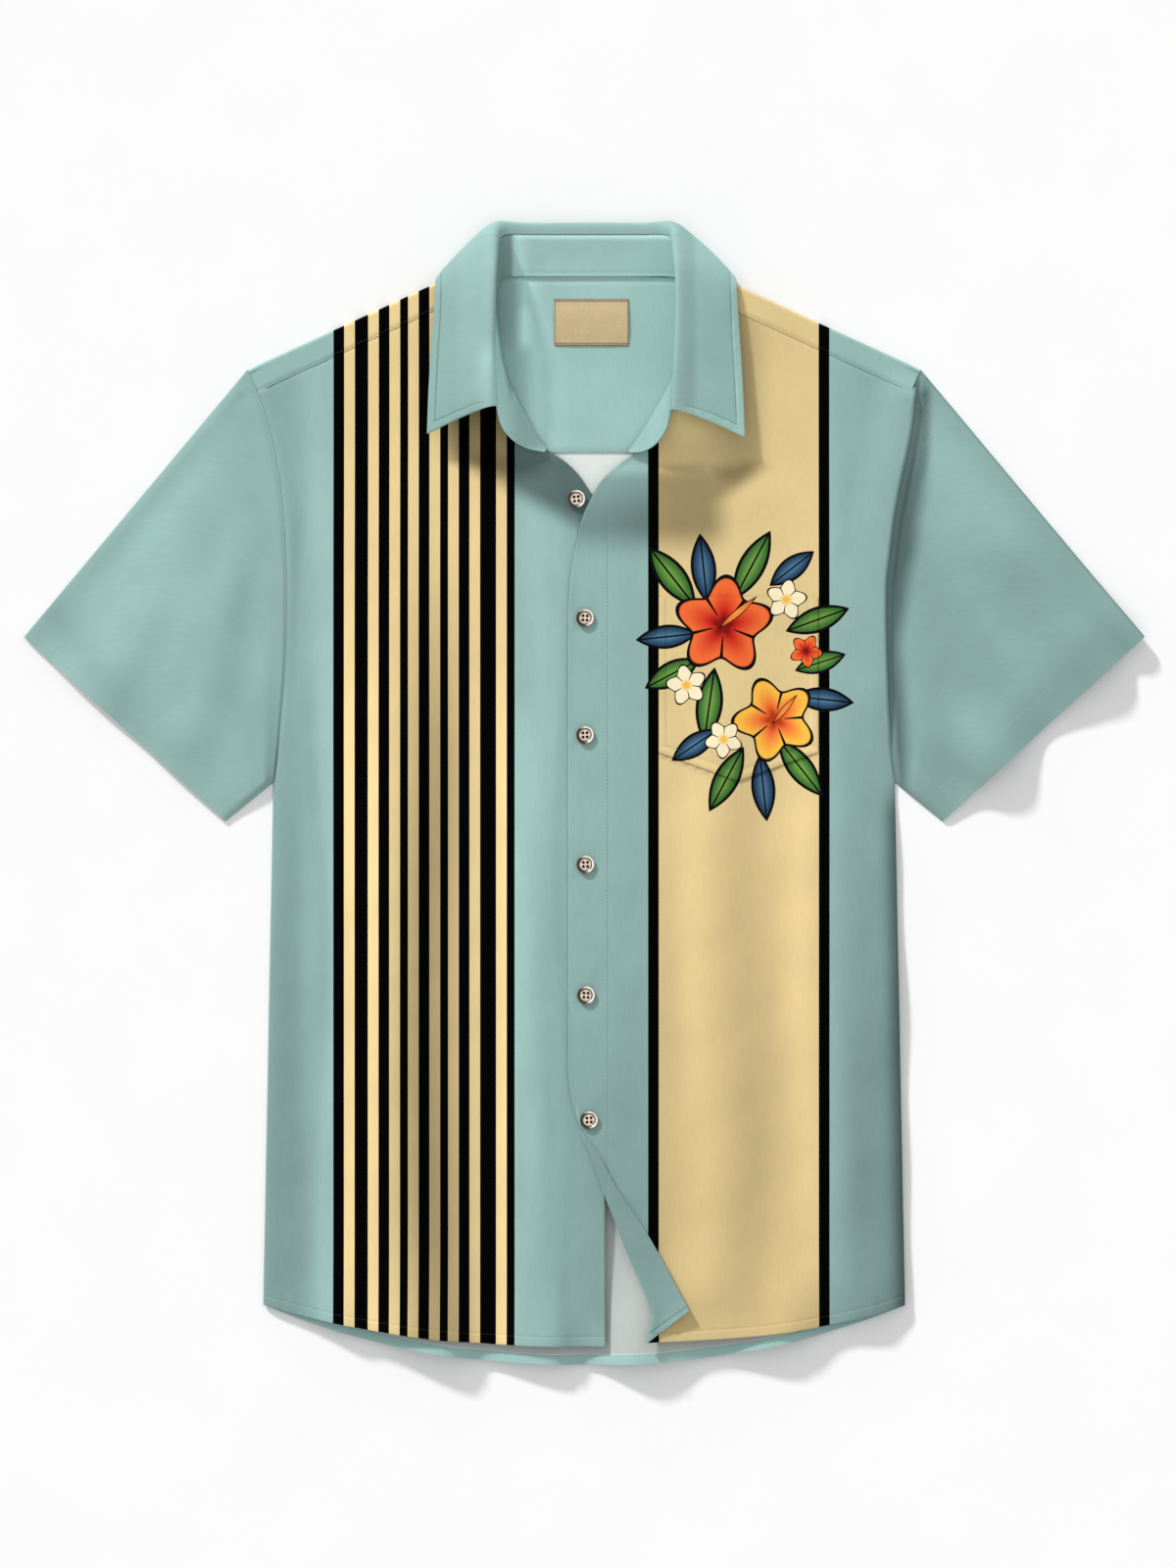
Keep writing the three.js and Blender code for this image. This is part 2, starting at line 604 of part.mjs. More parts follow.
function collarStand() {
  const rows = standLines().map(({ foot, top }) => [0, 0.35, 0.7, 1].map((t) => foot.clone().lerp(top, t)));
  return clothWall(rows, COLLAR_PLY).translate(NECK_X, 0, 0);
}

function chestPocket() {
  const rows = grid(steps(8), steps(6), (s, v) => {
    const x = lerp(POCKET.x0, POCKET.x1, s);
    const bottom = lerp(POCKET.tip, POCKET.side, Math.abs(2 * s - 1));
    const y = lerp(bottom, POCKET.top, v);
    return new THREE.Vector3(x, y, leftFrontMid(x, y) + LAP_STEP);
  });
  return clothWall(rows, CLOTH);
}

function neckLabel() {
  const rows = grid(steps(3), steps(3), (s, v) => {
    const x = LABEL.x + (s - 0.5) * LABEL.width;
    const y = LABEL.y + (v - 0.5) * LABEL.height;
    return new THREE.Vector3(x, y, FACING_MID + neckLift(x, y) + PLY_STEP + 0.2);
  });
  return clothWall(rows, CLOTH);
}

// A four-hole button with a raised rim, its foot on the plane z = 0.
function buttonBlank() {
  const { radius, thick, rim, dish, hole, spread } = BUTTON;
  const profile = [
    [0, 0],
    [radius - 0.8, 0],
    [radius, 0.8],
    [radius, thick - 0.5],
    [radius - 0.5, thick],
    [radius - rim, thick],
    [radius - rim - 0.6, thick - dish],
    [0, thick - dish],
  ].map(([r, z]) => new THREE.Vector2(r, z));
  let blank = solidOf(new THREE.LatheGeometry(profile, 18).rotateX(Math.PI / 2));
  for (const [i, j] of [[-1, -1], [-1, 1], [1, -1], [1, 1]]) {
    const drill = new THREE.CylinderGeometry(hole, hole, thick * 3, 6).rotateX(Math.PI / 2);
    blank = blank.subtract(solidOf(drill.translate(i * spread, j * spread, 0)));
  }
  return geometryOf(blank);
}

// three.js geometry to a manifold-3d solid, and back.
function solidOf(geometry) {
  const plain = geometry.clone().deleteAttribute("normal").deleteAttribute("uv");
  const merged = mergeVertices(plain, 1e-4);
  return new wasm.Manifold(
    new wasm.Mesh({
      numProp: 3,
      vertProperties: new Float32Array(merged.getAttribute("position").array),
      triVerts: new Uint32Array(merged.getIndex().array),
    }),
  );
}
function geometryOf(solid) {
  const mesh = solid.getMesh();
  const geometry = new THREE.BufferGeometry();
  geometry.setAttribute("position", new THREE.BufferAttribute(mesh.vertProperties, 3));
  geometry.setIndex(new THREE.BufferAttribute(mesh.triVerts, 1));
  return geometry;
}

// Materials
const cloth = (colour) => new THREE.MeshStandardMaterial({ color: colour, roughness: 0.75, metalness: 0 });
const TEAL = cloth("#8fb8b0");
const CREAM = cloth("#dfc68d");
const INSIDE = cloth("#9fc4bd");
const LABEL_TAN = cloth("#c8a877");
const BUTTON_HORN = new THREE.MeshStandardMaterial({ color: "#b8a48a", roughness: 0.35, metalness: 0 });

const shirt = new THREE.Group();
function addPiece(name, geometry, material) {
  geometry.computeVertexNormals();
  const mesh = new THREE.Mesh(geometry, material);
  mesh.name = name;
  shirt.add(mesh);
  return mesh;
}

addPiece("back_panel", backPanel(), TEAL);
addPiece("back_yoke", yoke(), TEAL);
addPiece("yoke_facing", yokeFacing(), INSIDE);
addPiece("front_right", rightFront(), TEAL);
addPiece("front_left", leftFront(), CREAM);
addPiece("sleeve_right", sleeve(-1, RIGHT_SLEEVE_FOLDS), TEAL);
addPiece("sleeve_left", sleeve(1, LEFT_SLEEVE_FOLDS), TEAL);
addPiece("collar_stand", collarStand(), TEAL);
addPiece("collar_fall", collarFall(), TEAL);
addPiece("chest_pocket", chestPocket(), CREAM);
addPiece("neck_label", neckLabel(), LABEL_TAN);
BUTTONS.forEach(([x, y], i) => {
  const open = i === 0; // the top button is sewn to the right front and isn't done up
  const mid = open ? frontMid : leftFrontMid;
  const highest = Math.max(mid(x - 5, y), mid(x + 5, y), mid(x, y - 5), mid(x, y + 5));
  const button = addPiece("button_" + (i + 1), buttonBlank(), BUTTON_HORN);
  button.position.set(x, y, highest + CLOTH / 2 + GAP);
});

export default shirt;
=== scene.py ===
"""A men's short-sleeved button-front shirt, laid flat on its back.

Metres in Blender, and millimetres in the tables and height functions below. +Z is up from the surface, +Y
runs towards the collar and +X towards the wearer's left sleeve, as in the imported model. Each piece that a
maker cuts is a grid of points moved to the cut's shape and to the height at which the cloth lies there.
"""

import math
from typing import NamedTuple

import bpy
import numpy as np
from bpy.props import FloatProperty, FloatVectorProperty, IntProperty, PointerProperty
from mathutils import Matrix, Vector
from mathutils.bvhtree import BVHTree


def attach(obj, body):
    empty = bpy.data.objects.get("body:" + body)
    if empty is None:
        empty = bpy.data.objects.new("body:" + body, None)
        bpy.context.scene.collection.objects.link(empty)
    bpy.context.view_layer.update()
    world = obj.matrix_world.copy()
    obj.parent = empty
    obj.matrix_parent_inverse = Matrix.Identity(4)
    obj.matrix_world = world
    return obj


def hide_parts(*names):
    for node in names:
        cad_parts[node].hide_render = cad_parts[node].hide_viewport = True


bl_info = {
    "name": "Printed short-sleeved shirt",
    "version": (1, 0, 0),
    "blender": (4, 5, 0),
    "location": "View3D > Sidebar > Shirt",
    "description": "Makes a button-front shirt from its cut pieces, with its print, seams and buttons",
    "category": "Add Mesh",
}

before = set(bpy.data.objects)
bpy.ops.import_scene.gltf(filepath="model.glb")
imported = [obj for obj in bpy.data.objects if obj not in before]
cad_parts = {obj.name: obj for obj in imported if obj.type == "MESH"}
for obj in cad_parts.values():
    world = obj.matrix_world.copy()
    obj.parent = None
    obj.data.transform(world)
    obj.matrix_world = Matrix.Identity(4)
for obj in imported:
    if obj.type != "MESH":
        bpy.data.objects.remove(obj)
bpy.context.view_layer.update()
MM = 0.001


def linear(colour):
    """The linear red, green and blue of an sRGB hex colour."""
    parts = [int(colour[i : i + 2], 16) / 255 for i in (1, 3, 5)]
    return [c / 12.92 if c <= 0.04045 else ((c + 0.055) / 1.055) ** 2.4 for c in parts]


# ---------------------------------------------------------------- settings


def length_setting(name, description, default, precision=5):
    return FloatProperty(
        name=name, description=description, default=default, unit="LENGTH", precision=precision
    )


def colour_setting(name, description, default):
    return FloatVectorProperty(name=name, description=description, subtype="COLOR", default=linear(default))


class ShirtCloth(bpy.types.PropertyGroup):
    """Thickness and fullness of the cloth."""

    ply: length_setting("Cloth thickness", "Wall of one ply", 0.6 * MM)
    collar_ply: length_setting("Collar thickness", "Wall of the fused collar", 1.2 * MM)
    fullness: length_setting("Fullness", "How far the fronts stand off the back", 3.6 * MM)
    folds: FloatProperty(
        name="Folds", description="Share of the folds' full height", default=1.0, min=0, max=1.5
    )


class ShirtColours(bpy.types.PropertyGroup):
    """Colours of the cloth, thread, label and buttons."""

    teal: colour_setting("Teal", "Ground of the print", "#92B3AE")
    cream: colour_setting("Cream", "Panel and light stripes", "#D6BF8A")
    black: colour_setting("Black", "Dark stripes", "#020203")
    reverse: colour_setting("Reverse", "Unprinted side of the cloth", "#DDE4E0")
    thread: colour_setting("Thread", "Sewing thread", "#748F88")
    label: colour_setting("Label", "Woven neck label", "#C9B38C")
    horn: colour_setting("Horn", "Dish of the buttons", "#E6D5C2")


class ShirtSewing(bpy.types.PropertyGroup):
    """Stitches and buttons."""

    pitch: length_setting("Stitch pitch", "From one stitch to the next", 2.6 * MM)
    stitch: length_setting("Stitch length", "Length of one stitch", 2.0 * MM)
    thread: length_setting("Thread thickness", "Across one stitch", 0.34 * MM)
    button: length_setting("Button", "Diameter of a button", 12.7 * MM, 4)
    holes: length_setting("Holes", "Half the distance between two holes", 1.46 * MM)
    button_thick: length_setting("Button thickness", "Height of a button's rim", 2.4 * MM, 4)


class ShirtStage(bpy.types.PropertyGroup):
    """Floor, lights and camera."""

    lens: FloatProperty(name="Lens", description="Focal length in mm", default=135, min=50, max=300)
    height: length_setting("Camera height", "Above the surface", 4.14, 2)
    key: FloatProperty(name="Key light", description="Strength of the large light", default=3.06, min=0)
    key_rise: FloatProperty(
        name="Key height", description="Angle of the large light above the surface", default=math.radians(22),
        subtype="ANGLE",
    )
    key_side: FloatProperty(
        name="Key side", description="Angle of the large light round from +X", default=math.radians(124),
        subtype="ANGLE",
    )
    fill: FloatProperty(
        name="Fill light", description="Strength of the light all round", default=0.711, min=0
    )
    floor: FloatProperty(name="Floor", description="Side of the floor", default=60, unit="LENGTH")
    steps: IntProperty(name="Floor steps", description="Cells along the floor's side", default=4, min=1)


# ---------------------------------------------------------------- the cut, in millimetres

REST_MID = 0.35  # middle of a layer that lies on the surface
FACING_MID = 1.8
FRONT_MID = 3.3  # the fronts, where nothing lifts them
SEAM_MID = 1.05  # the front's edge at the side seam, just above the back's
LAP_STEP = 1.3  # the left front above the right one
POCKET_STEP = 0.85
UNDER_YOKE = 0.9  # how far the fronts' top edges dip under the yoke
YOKE_STEP = 0.75  # the yoke above the fronts' top edges
LAP_END = (18, 52)
GAP = 0.3
NECK_LIFT = {"rise": 1.8, "grows": (296, 340), "fades": (116, 160)}

UNDERARM = (218.5, 8)
HEM_CORNER = (225.5, -360)
SHOULDER_TIP = (236.5, 298)
SHOULDER_SLOPE = 0.4586
SHOULDER_NECK = {"x": 97, "slope": 0.03}
BACK_HEM = {"y": -401.7, "bend": 2.2}
RIGHT_HEM = {"y": -388.6, "bend": 2.2}
LEFT_HEM = {"y": -385.6, "bend": 2.75}
BACK_YOKE_Y = 240
FRONT_YOKE_DEPTH = 18.5
YOKE_STITCH = 1.6  # from the yoke's edges to their stitches
NECK_STITCH = 2.2
COLLAR_STITCH = 6  # from the fall's edges
LABEL_STITCH = 1.3
FOLD_ROOM = 2
ARMHOLE = [
    # y, x
    (8, 218.5), (30, 216), (58, 213), (90, 210.5), (122, 209.4), (154, 209.4), (186, 210.8), (214, 213.4),
    (238, 217.3), (258, 221.8), (278, 228), (298, 236.5),
]
CUFF_OUTER = (394, 110)
CUFF_INNER = (252.5, -19.5)
CUFF_HEM = 19.5  # depth of the sleeve's hem
HEM_DEPTH = 6.5  # depth of the body's hem
KEPT = 20  # rows of a panel's grid this near its hem follow it without being stretched
TUCK = [
    # y, how far the left front is folded out over its sleeve's seam
    (-400, 0), (30, 0), (50, 0.9), (70, 1.6), (90, 2.4), (130, 2.8), (150, 3.2), (170, 4.8), (190, 6),
    (214, 7.8), (240, 9.2), (258, 8.6), (272, 5.9), (288, 2.2), (300, 0), (330, 0),
]
OPEN_CUFF = [
    # share of the way down the left sleeve's cuff, how far it stands off the surface
    (0, 5.6), (0.05, 4.4), (0.1, 1.6), (0.15, 6), (0.2, 6.6), (0.3, 3.2), (0.42, -0.4), (0.53, -0.6),
    (0.6, 4), (0.68, 10), (0.76, 7.4), (0.84, 0.6), (0.91, -1.8), (1, -2.4),
]
SLEEVE_SHADE = [
    # y, x of the edge of the shade that lies along the left front
    (-30, 224), (30, 225), (50, 224.5), (70, 223), (90, 221), (110, 220.5), (130, 224), (150, 226.5),
    (170, 231), (190, 233.5), (210, 237), (230, 242), (250, 243.5), (300, 243.5),
]

NECK_X = 2.7
BACK_NECK_Y = 363.3
NECK_CUT = {"left": 59, "right": 64}
RIGHT_SHIFT = 7  # the left side of the stand is upright, so its seam is this much further out
SHIFT_SPAN = (243, 290)  # Y over which that grows
NECKLINE_FROM = {"right": 242, "left": 240}  # Y above which a front's edge is cut as the neckline
NECK_SHADE = {"low": 191, "right": 0.66, "left": 0.56}

RIGHT_EDGE_X = 14.8
LEFT_EDGE_X = -12.4
PLACKET_SEAM_X = 16.2
TURN_RADIUS = 0.85
TIP_RISE = 5
TURN_BACK = [
    # y, x of the fold, width of the strip, and degrees above X of its threads
    (-386, 44.3, 37, 37.6), (-378, 46.5, 31.5, 35), (-364, 48, 23.4, 32), (-321, 30.4, 18, 27),
    (-300, 22.3, 13.4, 27), (-280, 14.5, 8.8, 27), (-256, 6.2, 4.8, 27), (-238, -2.8, 1.8, 27),
    (-222, -8.4, 0.7, 27), (-204, -11.8, 0, 27), (-190, LEFT_EDGE_X, 0, 27),
]
TURN_ENDS = TURN_BACK[-1][0]
TURN_COLUMNS = (8, 16)  # of the grid round the fold, and across the strip
FRONT_COLUMNS = 104
FRONT_LENGTH = 732  # of a front's grid, before it is stretched to the cut
ROW_STEP = 2.7
LEFT_EDGE = [
    (-190, LEFT_EDGE_X), (0, LEFT_EDGE_X), (117, LEFT_EDGE_X), (145, -11.4), (172, -7.6), (193, -2.6),
    (206, 3.2), (219, 11), (230, 22.5), (239.5, 36),
]
RIGHT_EDGE = [
    (-400, RIGHT_EDGE_X), (150, RIGHT_EDGE_X), (188, RIGHT_EDGE_X), (210, 5), (224, -4), (234, -14.5),
    (241.5, -27),
]
POCKET = {"x0": 51.6, "x1": 164.4, "top": 138, "side": 29, "tip": 8.6}
LABEL = {"x": 5.2, "y": 331.2, "width": 52, "height": 32.4}
HOLES = ((-1, -1), (-1, 1), (1, -1), (1, 1))
HOLE_RADIUS = 1.12
PLUG_RADIUS = 1.04  # of the thread in a hole
BUTTON_REST = 5.4  # a button rests on the highest cloth at this distance from its middle
BUTTON_PULL = 13  # how far round a button its pull presses the cloth down
BUTTON_TURNS = (0.12, -0.05, 0.04, 0.02, -0.04, 0.06)  # radians
BUTTONS = [(-5.4, 207), (0.7, 123.2), (0.7, 41), (1, -50), (1.4, -141.8), (3.5, -229.5)]


class Station(NamedTuple):
    """One place along half of the collar. seam is the foot of the stand, roll the line where the fall turns
    over, bulge how far it goes on upwards there, edge the fall's free edge, and tail its direction there."""

    seam: tuple
    roll: tuple
    bulge: float = 0
    edge: tuple = ()
    tail: tuple = ()


# The collar, from its front end to the middle of the back
COLLAR = [
    Station((52, 281), (63.5, 271, 24), 9, (112.5, 252.5, 13), (-16, 5, 6)),
    Station((60, 302), (65, 300, 29), 9, (111.2, 288, 11), (-16, 2, 8)),
    Station((63.2, 329), (65, 335, 30), 9, (109, 322, 10), (-15, 3, 9)),
    Station((63.6, 344), (64.5, 362, 28), 10, (107.4, 344, 10), (-14, 9, 8)),
    Station((63.4, 353), (63.5, 376, 23), 13, (106.8, 354, 9.5), (-14, 15, 6)),
    Station((62.4, 359), (62.8, 385.5, 18.5), 18, (106.2, 361.4, 6.4), (-15, 20, 2)),
    Station((59.6, 362.2), (61, 391.3, 14.5), 22, (101, 365.3, 1.7), (-14, 22, 0)),
    Station((52, 363.4), (55.5, 393.3, 11.5), 22, (90, 357, 0.9), (-10, 40, 0)),
    Station((34, 363.6), (40, 393.5, 9.5), 18, (60, 357, 0.7), (-6, 42, 0)),
    Station((17, 363.6), (20, 393.5, 9.2), 18, (28, 357, 0.7), (-2, 42, 0)),
    Station((0, 363.6), (0, 393.5, 9.2), 18, (0, 357, 0.7), (0, 42, 0)),
]
BULGES = [(i / (len(COLLAR) - 1), row.bulge) for i, row in enumerate(COLLAR)]
STAND_END = [
    Station((29, 242.5), (30.5, 240, 6.6)),
    Station((35.5, 251), (41.5, 242, 9)),
    Station((41, 260.5), (52.5, 247.8, 13)),
    Station((46.5, 270.5), (60.3, 257.5, 18.5)),
]
COLLAR_PLY = 1.2
COLLAR_STEPS = 12  # columns of the grid between two rows of the collar's table
# shares of the way up the stand at which its grid has a line
STAND_ROWS = [
    0, 0.03, 0.06, 0.09, 0.14, 0.2, 0.28, 0.36, 0.45, 0.55, 0.65, 0.74, 0.82, 0.88, 0.92, 0.95, 0.975, 1,
]
# distances from the fall's edge at which its grid has a line, close together at the stitches
FALL_ROWS = [0, 0.3, 0.7, 1.2, 2, 3, 4, 4.8, 5.3, 5.65, 6, 6.35, 6.7, 7.2, 8, 9.5, 11.5, 14]

# Folds: x and y of the middle, degrees above +X, half length, half width and rise. None is like the next.
RIGHT_FOLDS = [
    (-136, -150, 90.6, 330, 28, 3.0),
    (-80, -165, 89.4, 330, 30, -3.0),
    (-34, -190, 90.5, 290, 14, 1.6),
    (-197, -190, 91.5, 250, 16, -1.6),
    (-168, 90, 84, 120, 18, 0.8),
    (-120, 175, 97, 110, 20, 0.7),
    (-60, 130, 83, 90, 14, -0.6),
]
LEFT_FOLDS = [
    (97, -190, 89.6, 300, 21, 2.7),
    (133, -195, 90.8, 310, 22, -2.7),
    (172, -150, 91.5, 300, 22, 1.6),
    (62, -230, 90, 220, 14, -1.3),
    (128, 90, 101, 110, 19, 0.7),
    (92, 170, 82, 80, 17, -0.6),
    (190, 60, 80, 90, 14, -0.8),
]
# The sleeves' folds run from the top of the armhole to the cuff, each at its own slant. X is outwards.
RIGHT_SLEEVE_FOLDS = [
    (306, 146, -57, 150, 26, 1.9),
    (281, 116, -66, 130, 17, -1.4),
    (264, 86, -74, 110, 14, 1.2),
    (240, 110, -84, 100, 12, -1.1),
    (350, 110, -48, 80, 15, -0.7),
    (300, 40, -62, 60, 12, -0.6),
]
LEFT_SLEEVE_FOLDS = [
    (262, 212, -50, 120, 21, 1.5),
    (272, 168, -56, 120, 16, -0.7),
    (308, 138, -50, 120, 17, 1.0),
    (300, 84, -60, 100, 16, -1.1),
    (262, 62, -72, 90, 14, 1.3),
    (352, 96, -44, 70, 13, 0.7),
]

# Painted light and shade along the fronts' folds, in the same form as the folds: rise is how much lighter or
# darker the colour is drawn there.
FRONT_PAINTED_SHADING = [
    (-109, -200, 90.2, 430, 21, -0.4),
    (-156, -150, 90, 320, 16, 0.12),
    (-181, -150, 90, 320, 5, 0.1),
    (-186, -46, 90, 170, 9, -0.15),
    (-207, 135, 90, 95, 5, -0.11),
    (-192, 240, 90, 100, 11, 0.13),
    (-41, 20, 90, 60, 9, 0.12),
    (-43, -280, 90, 90, 7, 0.1),
    (24, -290, 90, 180, 18, -0.07),
    (24, -366, 0, 30, 18, -0.1),
    (104, -364, 0, 44, 18, -0.09),
    (178, 235, 90, 80, 7, -0.07),
    (186, -170, 90, 250, 9, -0.06),
    (190, -366, 0, 60, 26, -0.11),
    (100, 190, 20, 60, 12, -0.06),
    (22, 188, 0, 34, 9, -0.1),
    (-50, -170, 90.4, 270, 10, 0.18),
    (-31, -40, 90, 420, 9, 0.1),
    (-14, -40, 90, 420, 5, -0.09),
    (79, -150, 89.7, 300, 12, 0.08),
    (116, -190, 90.4, 320, 15, -0.05),
    (155, -150, 90.2, 300, 12, 0.13),
    (58, -200, 90, 220, 9, -0.04),
]
# Painted light and shade along the sleeves' folds, in the same form as the folds; the keys are the sides.
SLEEVE_PAINTED_SHADING = {
    -1: [
        (297, 151, -57, 130, 28, 0.17),
        (262, 205, -60, 60, 16, -0.08),
        (258, 92, -74, 120, 19, -0.08),
        (278, 120, -74, 90, 9, -0.07),
        (233, 160, -85, 120, 12, -0.05),
        (234, 38, -90, 50, 16, -0.11),
        (318, 78, -60, 60, 16, -0.1),
        (362, 106, 50, 60, 13, -0.1),
        (308, 50, 50, 55, 14, -0.08),
        (250, 240, -50, 60, 14, -0.04),
    ],
    1: [
        (262, 218, -50, 90, 24, 0.14),
        (276, 140, -62, 120, 18, 0.05),
        (330, 118, -50, 90, 24, -0.08),
        (243, 90, -87, 120, 15, -0.1),
        (338, 74, 50, 90, 15, -0.12),
        (300, 66, -58, 90, 15, -0.05),
        (384, 112, 50, 40, 12, -0.06),
    ],
}
# Waves of the hem, where it stands off the surface: x, how far it reaches left and right, and rise.
HEM_WAVES = [
    (-172, 24, 14, 5.2), (-98, 44, 17, 13.0),
    (-22, 40, 14, 8.8), (38, 24, 38, 12.2),
    (138, 34, 26, 11.4), (204, 20, 20, 2.8),
]

# The stripes of the print: the X at which each colour starts, from the right sleeve to the left one.
STRIPES = [
    (-240, "teal"), (-176.3, "black"), (-170.4, "light"), (-163.1, "black"), (-153.0, "light"),
    (-144.4, "black"), (-138.1, "light"), (-130.6, "black"), (-124.1, "light"), (-116.6, "black"),
    (-110.4, "light"), (-102.1, "black"), (-95.8, "light"), (-88.3, "black"), (-81.8, "light"),
    (-73.2, "black"), (-63.4, "light"), (-55.3, "black"), (-49.3, "teal"), (44.7, "black"),
    (51.4, "cream"), (164.7, "black"), (171.3, "teal"),
]
PRINT_SPAN = (-240, 240)
# Painted light and shade across the stripes at each X, low on the shirt, where the folds light and shade
# them.
STRIPE_PAINTED_SHADING = [
    (-240, 1), (-172, 1.12), (-148, 1.15), (-134, 1.08), (-120, 1.0), (-106, 0.95), (-92, 0.93), (-78, 1.05),
    (-59, 1.12), (-50, 1.12), (-46, 1), (240, 1),
]
WHITE = (1, 1, 1)
INK = (0.004, 0.004, 0.005, 1.0)  # outlines of the bouquet
# Pairs of colours of the bouquet's leaves, from the rib outwards
GREEN, NAVY, GOLD = ("#6E9A45", "#3C6B30"), ("#4C7391", "#27405A"), ("#F4B847", "#EB6A35")
LEAVES = [
    # x, y, degrees above +X, half length, half width, colours
    (62, 152, 128, 27, 10, GREEN), (84, 158, 96, 25, 9, NAVY), (118, 160, 62, 28, 9.5, GREEN),
    (146, 158, 38, 20, 8, NAVY), (164, 122, 20, 24, 9, GREEN), (58, 110, 186, 22, 8.5, NAVY),
    (62, 84, 208, 22, 9, GREEN), (88, 62, 262, 27, 9.5, GREEN), (168, 66, -6, 22, 8.5, NAVY),
    (166, 92, 18, 19, 7.5, GREEN), (152, 18, -52, 26, 9, GREEN), (126, 4, -84, 24, 8.5, NAVY),
    (100, 10, -118, 26, 9, GREEN), (78, 34, 214, 20, 8, NAVY),
]
STAMENS = [(108, 127, 40, 18, 2.6, GOLD), (141, 59, 50, 14, 2.2, GOLD)]
# Colours of a blossom's heart, its petals and their rims
RED, ORANGE = ("#7E1414", "#C92F1F", "#EB6A35"), ("#B23A12", "#EB6A35", "#F4B847")
CREAM = ("#F4B847", "#F3E6C0", "#F3E6C0")
BLOSSOMS = [
    # x, y, degrees above +X, half size, colours
    (98, 118, 14, 36, RED), (134, 52, 40, 31, ORANGE), (142, 136, 8, 15, CREAM), (72, 76, 30, 15, CREAM),
    (98, 38, 50, 14, CREAM), (156, 100, 62, 12, RED),
]


# ---------------------------------------------------------------- shapes of the cut


def lerp(a, b, t):
    return a + (b - a) * t


def smooth(value, start, end):
    """0 before start, 1 after end, and an easy slope between."""
    t = np.clip((value - start) / (end - start), 0, 1)
    return t * t * (3 - 2 * t)


def hill(offset, width):
    """A rounded hill, 1 high where offset is 0."""
    return np.exp(-((offset / width) ** 2))


def table_at(table, key, column=1):
    """A smooth curve through the rows of a table whose first column grows."""
    rows = np.asarray(table, float)
    keys, values = rows[:, 0], rows[:, column]
    last = len(keys) - 1
    index = np.arange(last + 1)
    low, high = np.maximum(index - 1, 0), np.minimum(index + 1, last)
    slope = (values[high] - values[low]) / (keys[high] - keys[low])
    key = np.asarray(key, float)
    i = np.clip(np.searchsorted(keys, key, side="left") - 1, 0, last - 1)
    step = keys[i + 1] - keys[i]
    t = np.clip((key - keys[i]) / step, 0, 1)
    t2, t3 = t * t, t * t * t
    return (
        (2 * t3 - 3 * t2 + 1) * values[i]
        + (t3 - 2 * t2 + t) * step * slope[i]
        + (3 * t2 - 2 * t3) * values[i + 1]
        + (t3 - t2) * step * slope[i + 1]
    )


def half_width(y):
    """Half width of the body: the side seam, and above the underarm the armhole."""
    y = np.asarray(y, float)
    share = (UNDERARM[1] - y) / (UNDERARM[1] - HEM_CORNER[1])
    side = lerp(UNDERARM[0], HEM_CORNER[0], share)
    return np.where(y < UNDERARM[1], side, table_at(ARMHOLE, y))


def hem_y(x, hem):
    return lerp(hem["y"], HEM_CORNER[1], np.minimum(np.abs(x) / HEM_CORNER[0], 1) ** hem["bend"])


def shoulder_y(x):
    outer = np.maximum(np.abs(x), SHOULDER_NECK["x"])
    inner = outer - np.abs(x)
    return SHOULDER_TIP[1] + (SHOULDER_TIP[0] - outer) * SHOULDER_SLOPE + inner * SHOULDER_NECK["slope"]


def front_yoke_y(x):
    return shoulder_y(x) - FRONT_YOKE_DEPTH


def neck_lift(x, y):
    """How far the layers near the neck are raised by the fall of the collar under them."""
    lift = NECK_LIFT["rise"] * smooth(y, *NECK_LIFT["grows"])
    return lift * (1 - smooth(np.abs(x - NECK_X), *NECK_LIFT["fades"]))


def neckline_half(y, side):
    seam = [row.seam[::-1] for row in STAND_END + COLLAR[:5]]
    end = seam[-1][1]
    half = table_at(seam + [(BACK_NECK_Y, end), (430, end)], y)
    return half + (RIGHT_SHIFT * smooth(y, *SHIFT_SPAN) if side > 0 else 0)


def turned(x, y, middle_x, middle_y, degrees):
    """Distances along and across a line through the middle at an angle above +X."""
    c, s = math.cos(math.radians(degrees)), math.sin(math.radians(degrees))
    return (x - middle_x) * c + (y - middle_y) * s, (y - middle_y) * c - (x - middle_x) * s


def fold_rise(folds, x, y):
    total = np.zeros_like(np.asarray(x, float))
    for middle_x, middle_y, degrees, long, wide, rise in folds:
        along, across = turned(x, y, middle_x, middle_y, degrees)
        across = across + 5 * np.sin(along / 61 + middle_x)  # no fold runs quite straight
        ends = 1 - smooth(np.abs(along), long * 0.4, long)
        total = total + rise * ends * hill(across, wide)
    return total


def uneven(x, y, size, seed):
    """A soft uneven surface between about -1 and 1, with bumps of about that size."""
    total = 0
    for k in range(5):
        angle = seed * 1.7 + k * 2.399
        reach = size * (1.5 + 0.31 * k)
        total = total + np.sin(
            (x * math.cos(angle) + y * math.sin(angle)) * 2 * math.pi / reach + seed * 3.1 + k * k * 1.3
        )
    return total / 3


def edge_roll(inset, radius):
    """How far cloth has turned down at a distance from its folded or free edge."""
    d = np.clip(radius - inset, 0, radius)
    return radius - np.sqrt(np.maximum(radius * radius - d * d, 0))


def tuck_over(y):
    """The left front is folded over its sleeve's seam by this much."""
    return table_at(TUCK, y)


